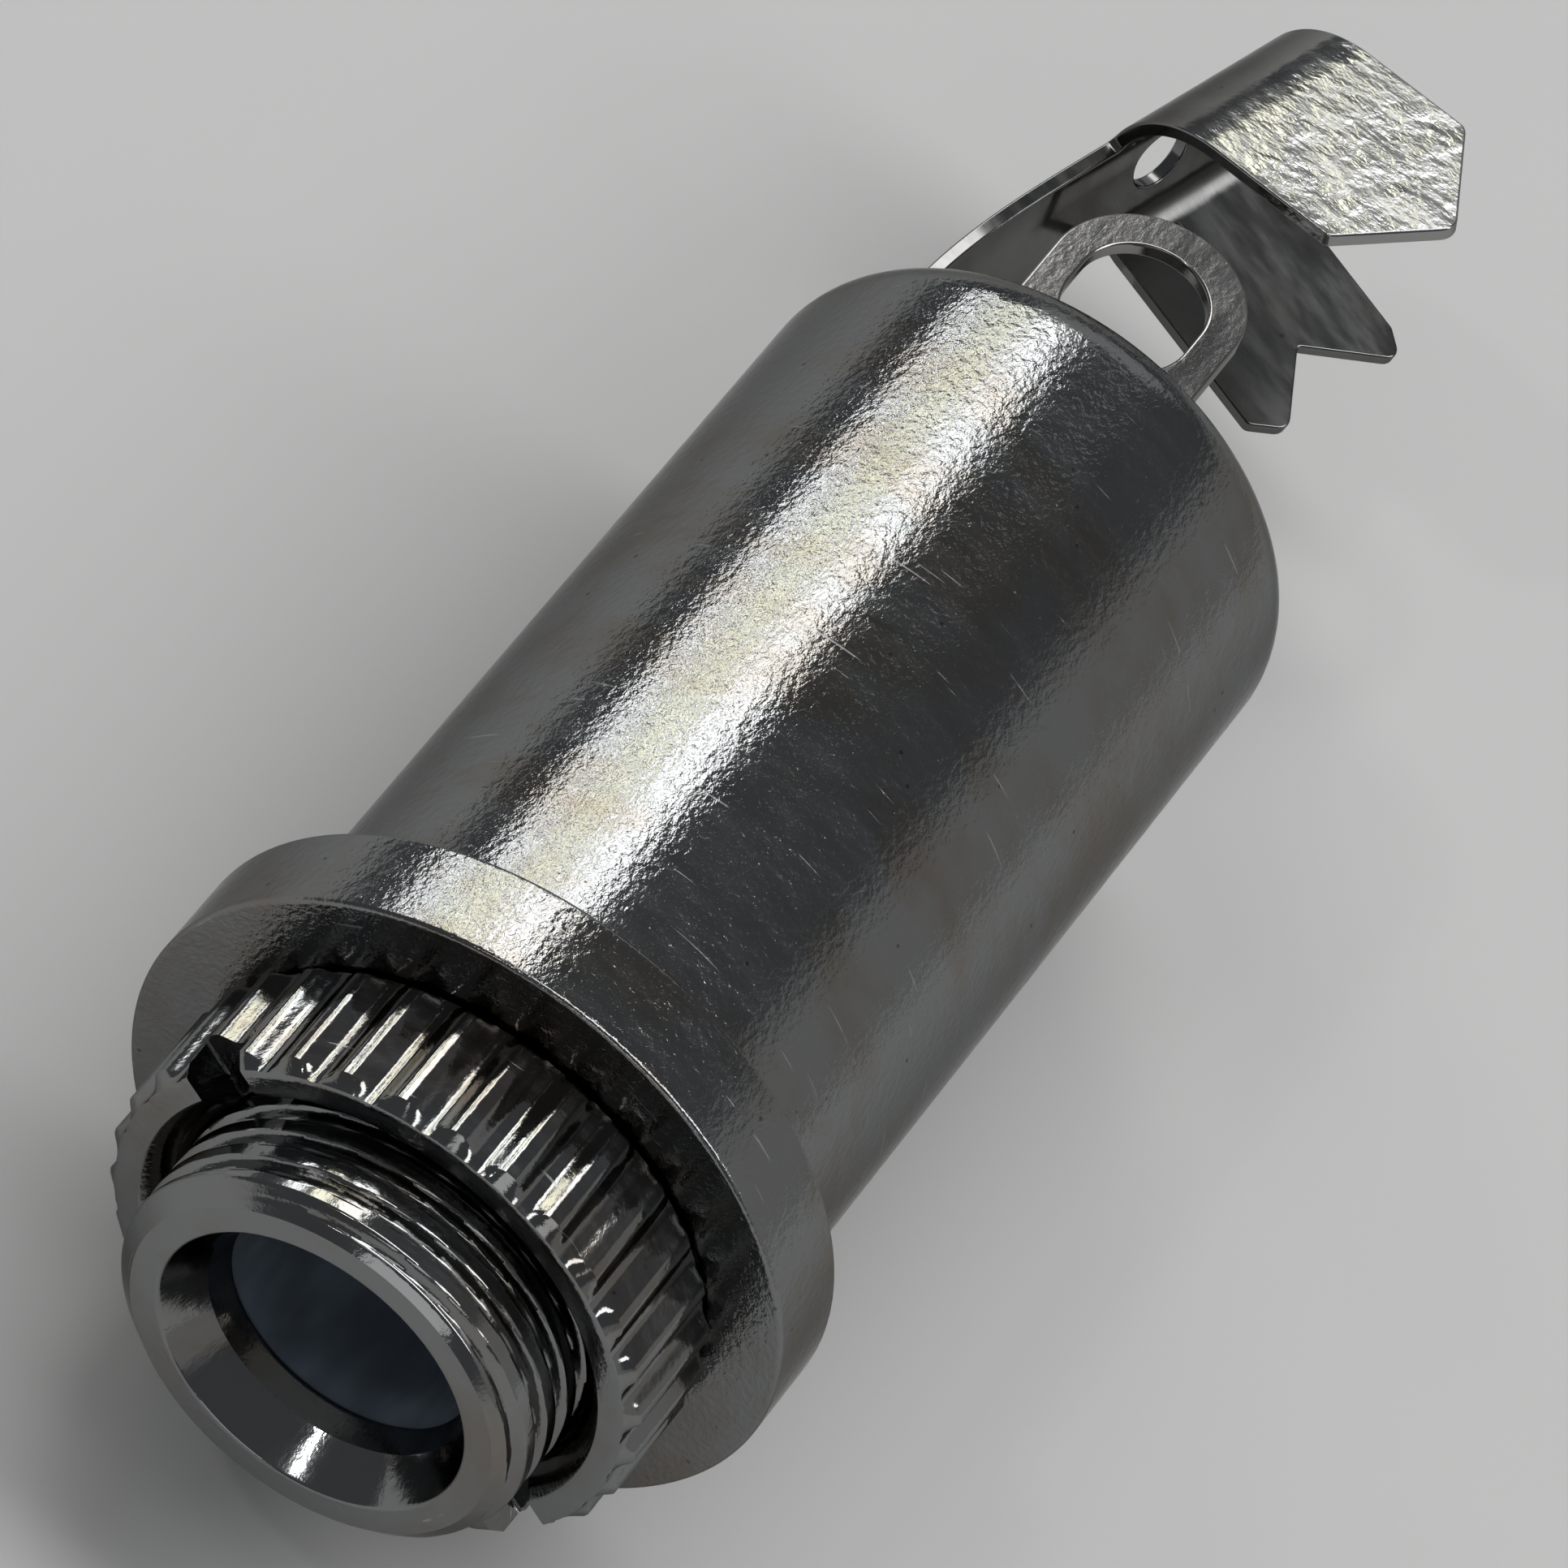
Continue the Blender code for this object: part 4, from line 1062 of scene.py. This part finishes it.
@dataclass
class SolderEyelet:
    """Flat tip lug with its soldering eye, rolled about the axis with the contact block."""

    roll: float = 11.7
    height: float = 1.90
    thickness: float = 0.25
    centre_x: float = -0.131
    half_width: float = 1.445
    neck_half_width: float = 0.90
    tongue_half_width: float = 0.92
    tongue_y: float = 12.298
    inner_shoulder_y: float = 14.008
    shoulder_y: float = 15.648
    tip_y: float = 19.079
    corner_r: float = 0.35
    eye_x: float = -0.144
    eye_r: float = 0.94
    eye_straight: float = 0.44
    eye_tip_wall: float = 0.587
    rivet_y: float = 13.198
    rivet_hole_r: float = 0.33

    def build(self) -> bpy.types.Object:
        """Builds the piece that stands for the tip lug."""
        left, right = self.centre_x - self.half_width, self.centre_x + self.half_width
        neck_left, neck_right = self.centre_x - self.neck_half_width, self.centre_x + self.neck_half_width
        crown = arc((self.centre_x, self.tip_y - self.half_width), self.half_width, 0.0, 180.0)
        corners = [
            (-self.tongue_half_width, self.tongue_y, 0.15),
            (self.tongue_half_width, self.tongue_y, 0.15),
            (self.tongue_half_width, self.inner_shoulder_y, 0.0),
            (neck_right, self.inner_shoulder_y, 0.0),
            (neck_right, self.shoulder_y, 0.0),
            (right, self.shoulder_y, self.corner_r),
            *[(x, y, 0.0) for x, y in crown],
            (left, self.shoulder_y, self.corner_r),
            (neck_left, self.shoulder_y, 0.0),
            (neck_left, self.inner_shoulder_y, 0.0),
            (-self.tongue_half_width, self.inner_shoulder_y, 0.0),
        ]
        eye_top = self.tip_y - self.eye_tip_wall - self.eye_r
        eye = arc((self.eye_x, eye_top), self.eye_r, 0.0, 180.0)
        eye += arc((self.eye_x, eye_top - self.eye_straight), self.eye_r, 180.0, 360.0)
        turn = Matrix.Rotation(math.radians(-self.roll), 3, "Y")
        up = turn @ Vector((0.0, 0.0, 1.0))

        def place(x: float, y: float) -> tuple[Vector, Vector]:
            """Lays a point of the blank at the lug's height."""
            return turn @ Vector((x, y, self.height)), up

        sheet = StampedSheet(
            rounded_loop(corners),
            [eye, circle((0.0, self.rivet_y), self.rivet_hole_r)],
            place,
            self.thickness,
            np.arange(-1.7, 1.5, 0.16),
            np.arange(12.3, 19.1, 0.16),
            edge_round=0.045,
        )
        piece = sheet.piece("solder_eyelet")
        dress(piece, Finish.TINNED_EYELET)
        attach(piece, "socket")
        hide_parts("tip_lug")
        return piece


def walk(pieces: Sequence[Point2], distance: float) -> Point2:
    """Walks from the origin toward -x along lines (length, 0) and arcs (radius, turn).

    Args:
        pieces: The path's pieces.
        distance: How far to walk.

    Returns:
        The point reached.
    """
    x = y = 0.0
    angle = math.pi
    for i, (size, turn) in enumerate(pieces):
        sweep = math.radians(turn)
        length = size if turn == 0.0 else size * abs(sweep)
        last = distance <= length or i == len(pieces) - 1
        step = distance if last else length
        if turn == 0.0:
            x += step * math.cos(angle)
            y += step * math.sin(angle)
        else:
            part = math.copysign(step / size, turn)
            side = math.copysign(size, turn)
            x += side * (math.sin(angle + part) - math.sin(angle))
            y -= side * (math.cos(angle + part) - math.cos(angle))
            angle += part
        if last:
            break
        distance -= length
    return x, y


@dataclass
class CableClamp:
    """Earth plate, neck and fold-over cable clamp, bent from one sheet.

    On the blank u runs from the plate to the clamp and v across it, zero on the neck's middle.
    """

    sheet: float = 0.22
    plate_mid_y: float = 14.968
    plate_r: float = 3.383
    can_opening_r: float = 3.186
    can_end_y: float = 15.458
    neck_angle: float = 199.9
    neck_half: float = 1.10
    neck_play: float = 0.045
    bend_r: float = 0.30
    neck_run: float = 1.15
    notch_width: float = 0.25
    notch_depth: float = 0.25
    chord_inset: float = 0.10
    from_can: float = 5.43
    corner_x: float = -1.169
    corner_z: float = -1.676
    pitch: float = 6.4
    yaw: float = 16.0
    roll: float = 1.1
    fold_r: float = 0.565
    fold_turn: float = 70.0
    web: float = 0.996
    roll_r: float = 1.983
    roll_turn: float = 87.0
    root: float = 1.35
    upper_forward: float = 0.147
    upper_width: float = 3.055
    upper_front_side: float = 2.221
    upper_rear_side: float = 1.887
    upper_apex: float = 3.253
    upper_apex_along: float = 1.507
    lower_width: float = 2.94
    lower_side: float = 3.02
    lower_skew: float = 0.10
    lobe_rise: float = 0.37
    lobe_inset: float = 0.50
    rear_lobe_inset: float = 0.225
    notch_in: float = 0.58
    hole_r: float = 0.52
    hole_along: float = 0.90
    hole_up: float = 1.50
    window: tuple[float, float, float, float] = (-1.381, 1.119, 1.295, 2.505)
    contact_roll: float = 11.7

    def __post_init__(self) -> None:
        """Works out the directions and lengths that follow from the sizes."""
        angle = math.radians(self.neck_angle)
        self.out = Vector((math.cos(angle), 0.0, math.sin(angle)))
        self.across = Vector((self.out.z, 0.0, -self.out.x))
        self.back = Vector((0.0, 1.0, 0.0))
        limit = self.can_opening_r - self.neck_play
        self.reach = math.sqrt(limit**2 - self.neck_half**2) - self.sheet / 2
        self.bend_at = self.reach - self.bend_r
        self.bend_length = self.bend_r * math.pi / 2
        self.neck_end = self.bend_length + self.neck_run
        self.neck_y = self.plate_mid_y + self.bend_r + self.neck_run
        turn = Matrix.Rotation(math.radians(-self.yaw), 3, "Z")
        turn @= Matrix.Rotation(math.radians(self.pitch), 3, "X")
        turn @= Matrix.Rotation(math.radians(self.roll), 3, "Y")
        self.side, self.along, self.rise = (turn @ Vector(v) for v in ((1, 0, 0), (0, 1, 0), (0, 0, 1)))
        self.corner = Vector((self.corner_x, self.can_end_y + self.from_can, self.corner_z))
        self.section = [
            (self.fold_r, -self.fold_turn),
            (self.web, 0.0),
            (self.roll_r, -self.roll_turn),
            (self.upper_apex, 0.0),
        ]
        self.loft_start = self.out * self.reach + self.back * self.neck_y
        self.loft_length = (self.on_section(0.0) - self.loft_start).length
        self.clamp_u = self.neck_end + self.loft_length

    def on_section(self, v: float) -> Vector:
        """Point of the clamp's cross-section.

        Args:
            v: Distance across the blank.

        Returns:
            The point on the clamp's near edge.
        """
        distance = v + self.root
        if distance < 0.0:
            return self.corner - self.side * distance
        b, h = walk(self.section, distance)
        return self.corner + self.side * b + self.rise * h

    def middle(self, u: float, v: float) -> Vector:
        """Point of the folded sheet's middle surface.

        Args:
            u: Distance from the plate.
            v: Distance across.

        Returns:
            The point, in millimetres.
        """
        plate_y = self.back * self.plate_mid_y
        if u <= 0.0:
            return self.out * (self.bend_at + u) + self.across * v + plate_y
        if u <= self.bend_length:
            angle = u / self.bend_r
            outward = self.bend_at + self.bend_r * math.sin(angle)
            forward = self.bend_r * (1.0 - math.cos(angle))
            return self.out * outward + self.across * v + plate_y + self.back * forward
        if u <= self.neck_end:
            return self.out * self.reach + self.across * v + self.back * (self.neck_y - self.neck_end + u)
        if u >= self.clamp_u:
            return self.on_section(v) + self.along * (u - self.clamp_u)
        t = (u - self.neck_end) / self.loft_length
        first = (self.loft_start + self.across * v) * (2 * t**3 - 3 * t**2 + 1)
        leave = self.back * self.loft_length * (t**3 - 2 * t**2 + t)
        last = self.on_section(v) * (3 * t**2 - 2 * t**3)
        arrive = self.along * self.loft_length * (t**3 - t**2)
        return first + leave + last + arrive

    def place(self, u: float, v: float) -> tuple[Vector, Vector]:
        """Point and normal of the folded sheet's middle surface."""
        step = 0.002
        run = self.middle(u + step, v) - self.middle(u - step, v)
        width = self.middle(u, v + step) - self.middle(u, v - step)
        return self.middle(u, v), run.cross(width).normalized()

    def outline(self) -> list[Point2]:
        """Outline of the blank.

        Returns:
            The outline's points.
        """
        half = self.neck_half
        fold = self.fold_r * math.radians(self.fold_turn)
        roll_end = fold + self.web + self.roll_r * math.radians(self.roll_turn) - self.root
        near = self.clamp_u - self.upper_forward
        upper_far = near + self.upper_width
        low = -self.root - self.lower_side
        chord_u = -self.chord_inset
        chord = math.degrees(math.acos((self.bend_at - self.chord_inset) / self.plate_r))
        rim = arc((-self.bend_at, 0.0), self.plate_r, chord, 360.0 - chord, 4.0)
        notch_u = chord_u - self.notch_depth
        notch_v = half + self.notch_width
        far = self.clamp_u + self.lower_width
        corners = [
            (notch_u, half, 0.0),
            (notch_u, notch_v, 0.0),
            (chord_u, notch_v, 0.0),
            *[(u, v, 0.0) for u, v in rim],
            (chord_u, -notch_v, 0.0),
            (notch_u, -notch_v, 0.0),
            (notch_u, -half, 0.0),
            (self.clamp_u, -half, 0.12),
            (self.clamp_u, low, 0.14),
            (self.clamp_u + self.lobe_inset, low - self.lobe_rise, 0.22),
            (self.clamp_u + self.lower_width / 2, low + self.notch_in, 0.06),
            (far - self.rear_lobe_inset, low - self.lobe_rise, 0.18),
            (far, low + self.lower_skew, 0.14),
            (far, -self.root, 0.0),
            (upper_far, 0.0, 0.0),
            (upper_far, roll_end + self.upper_rear_side, 0.25),
            (near + self.upper_apex_along, roll_end + self.upper_apex, 0.28),
            (near, roll_end + self.upper_front_side, 0.15),
            (near, half, 0.12),
        ]
        return rounded_loop(corners, 6)

    def plate_window(self) -> list[Point2]:
        """Window in the plate through which the block's boss stands.

        Returns:
            The window's outline on the blank.
        """
        left, right, floor, roof = self.window
        turn = Matrix.Rotation(math.radians(-self.contact_roll), 3, "Y")
        corners = []
        for x, z in ((left, floor), (left, roof), (right, roof), (right, floor)):
            spot = turn @ Vector((x, 0.0, z))
            corners.append((spot.dot(self.out) - self.bend_at, spot.dot(self.across), 0.2))
        return rounded_loop(corners)

    def build(self) -> bpy.types.Object:
        """Builds the piece that stands for the earth clamp."""
        hole = circle((self.clamp_u + self.hole_along, self.hole_up - self.root), self.hole_r)
        fold = self.fold_r * math.radians(self.fold_turn)
        roll = self.roll_r * math.radians(self.roll_turn)
        starts = np.array([0.0, fold, fold + self.web, fold + self.web + roll]) - self.root
        rows = [
            *np.arange(-7.0, -self.root - 0.1, 0.20),
            *np.linspace(starts[0], starts[1], 15),
            *np.linspace(starts[1], starts[2], 8)[1:],
            *np.linspace(starts[2], starts[3], 30)[1:],
            *np.arange(starts[3] + 0.15, starts[3] + 4.0, 0.15),
        ]
        columns = [
            *np.arange(-8.0, -0.05, 0.22),
            *np.linspace(0.0, self.bend_length, 12),
            *np.linspace(self.bend_length, self.neck_end, 8)[1:],
            *np.linspace(self.neck_end, self.clamp_u, 26)[1:],
            *np.arange(self.clamp_u + 0.13, self.clamp_u + 3.3, 0.13),
        ]
        holes = [self.plate_window(), hole]
        outline = self.outline()
        sheet = StampedSheet(outline, holes, self.place, self.sheet, columns, rows, side=0.11, spread=0.05)
        piece = sheet.piece("clamp_sheet")
        dress(piece, Finish.TINNED_CLAMP)
        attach(piece, "socket")
        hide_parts("earth_clamp")
        return piece


@dataclass
class ContactSet:
    """Moulded guide, liner and block with the tip spring and its rivet, kept as the solids they are."""

    finishes: dict[str, Finish] = field(
        default_factory=lambda: {
            "plug_guide": Finish.GUIDE_BLACK,
            "insulating_liner": Finish.LINER_BLACK,
            "contact_block": Finish.BLOCK_BLACK,
            "tip_spring": Finish.SPRING_BRONZE,
            "contact_rivet": Finish.TINNED_RIVET,
        }
    )

    def build(self) -> list[bpy.types.Object]:
        """Gives each solid its finish."""
        for name, finish in self.finishes.items():
            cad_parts[name].material_slots[0].material = finish.material()
        return [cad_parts[name] for name in self.finishes]


# Studio: camera, floor and soft lamps.


@dataclass(frozen=True)
class Softbox:
    """A square-on lamp panel, placed by two angles as the barrel's skin mirrors it.

    around turns about the Y axis, from straight up toward +X; rearward tips toward +Y.
    """

    name: str
    around: float
    rearward: float
    half_around: float
    half_rearward: float
    radiance: float
    tint: Colour = (1.0, 1.0, 1.0)
    distance: float = 0.5

    def build(self, target: Vector) -> bpy.types.Object:
        """Adds the lamp.

        Args:
            target: Point that it faces, in metres.

        Returns:
            The lamp's object.
        """
        around, rearward = math.radians(self.around), math.radians(self.rearward)
        level = math.cos(rearward)
        away = Vector((level * math.sin(around), math.sin(rearward), level * math.cos(around)))
        wide = Vector((math.cos(around), 0.0, -math.sin(around)))
        tall = away.cross(wide)
        data = bpy.data.lights.new(self.name, "AREA")
        data.shape = "RECTANGLE"
        data.size = 2 * self.distance * math.tan(math.radians(self.half_around) * math.cos(rearward))
        data.size_y = 2 * self.distance * math.tan(math.radians(self.half_rearward))
        data.energy = self.radiance * math.pi * data.size * data.size_y
        data.color = self.tint
        lamp = linked(self.name, data)
        turn = Matrix((wide, tall, away)).transposed()
        lamp.matrix_world = Matrix.Translation(target + away * self.distance) @ turn.to_4x4()
        return lamp


@dataclass
class Studio:
    """Pale floor, soft lamps and the camera."""

    camera_place: Vector3 = (0.0, -0.080935, 0.116507)
    camera_right: Vector3 = (0.77199, 0.50426, 0.38698)
    camera_up: Vector3 = (-0.63564, 0.61177, 0.47084)
    camera_back: Vector3 = (0.00068, -0.60947, 0.79281)
    lens: float = 252.949
    sensor: float = 36.0
    clip: Range = (0.01, 20.0)
    aim: Vector3 = (0.0, 0.008, 0.0)
    floor_half: float = 3.0
    dim_wall: Colour = (0.12, 0.125, 0.135)
    pale_wall: Colour = (0.36, 0.36, 0.355)
    pale_side: Vector3 = (0.84, 0.26, -0.47)
    pale_edge: Range = (0.34, 0.52)
    lamps: tuple[Softbox, ...] = (
        Softbox("key_white", -35.0, 35.5, 7.5, 8.0, 4.8),
        Softbox("key_warm", -51.5, 35.5, 4.8, 8.0, 4.3, (1.0, 0.99, 0.82)),
        Softbox("key_edge", -66.0, 35.5, 4.0, 8.0, 4.8),
        Softbox("glint", -33.0, -22.0, 2.2, 2.2, 24.0),
        Softbox("overhead", 14.0, 15.0, 40.0, 9.0, 4.2),
        Softbox("low_front", 20.0, -62.0, 40.0, 12.0, 1.0, distance=0.7),
        Softbox("rear_panel", -20.0, 60.0, 38.0, 14.0, 0.36),
    )

    def camera(self) -> bpy.types.Object:
        """Adds the camera at the photograph's viewing angle."""
        data = bpy.data.cameras.new("camera")
        data.lens = self.lens
        data.sensor_width = self.sensor
        data.clip_start, data.clip_end = self.clip
        view = Matrix((self.camera_right, self.camera_up, self.camera_back)).transposed()
        camera = linked("camera", data)
        camera.matrix_world = Matrix.Translation(self.camera_place) @ view.to_4x4()
        bpy.context.scene.camera = camera
        return camera

    def floor(self) -> bpy.types.Object:
        """Adds the floor under the flange's lowest point."""
        half = self.floor_half
        level = CAD_BOX[0].z - FLOOR_GAP
        mesh = bpy.data.meshes.new("pale_floor")
        corners = [(-half, -half, level), (half, -half, level), (half, half, level), (-half, half, level)]
        mesh.from_pydata(corners, [], [(0, 1, 2, 3)])
        mesh.materials.append(PaperFloor().material())
        floor = linked("pale_floor", mesh)
        return floor

    def room(self) -> bpy.types.World:
        """Adds dim walls, with one side paler than the rest."""
        world = bpy.data.worlds.new("room")
        world.use_nodes = True
        wiring = Wiring(world.node_tree)
        facing = wiring.along(wiring.made("TexCoord", "Generated", {}), self.pale_side)
        walls = wiring.blend(wiring.ramp(facing, *self.pale_edge), self.dim_wall, self.pale_wall)
        wiring.feed(world.node_tree.nodes["Background"].inputs["Color"], walls)
        bpy.context.scene.world = world
        return world

    def build(self) -> None:
        """Sets up the camera, the floor, the lamps and the view transform."""
        self.camera()
        self.floor()
        self.room()
        for lamp in self.lamps:
            lamp.build(Vector(self.aim))
        bpy.context.scene.view_settings.view_transform = "Standard"


def main() -> None:
    """Builds the studio and every piece of the socket."""
    logging.basicConfig(level=logging.INFO, format="%(message)s")
    Studio().build()
    for maker in (ThreadedBushing(), RingNut(), RolledBarrel(), SolderEyelet(), CableClamp()):
        piece = maker.build()
        LOG.info("%s: %d faces", piece.name, len(piece.data.polygons))
    for solid in ContactSet().build():
        LOG.info("%s: finished solid", solid.name)
    bpy.context.view_layer.update()


if __name__ == "__main__":
    main()
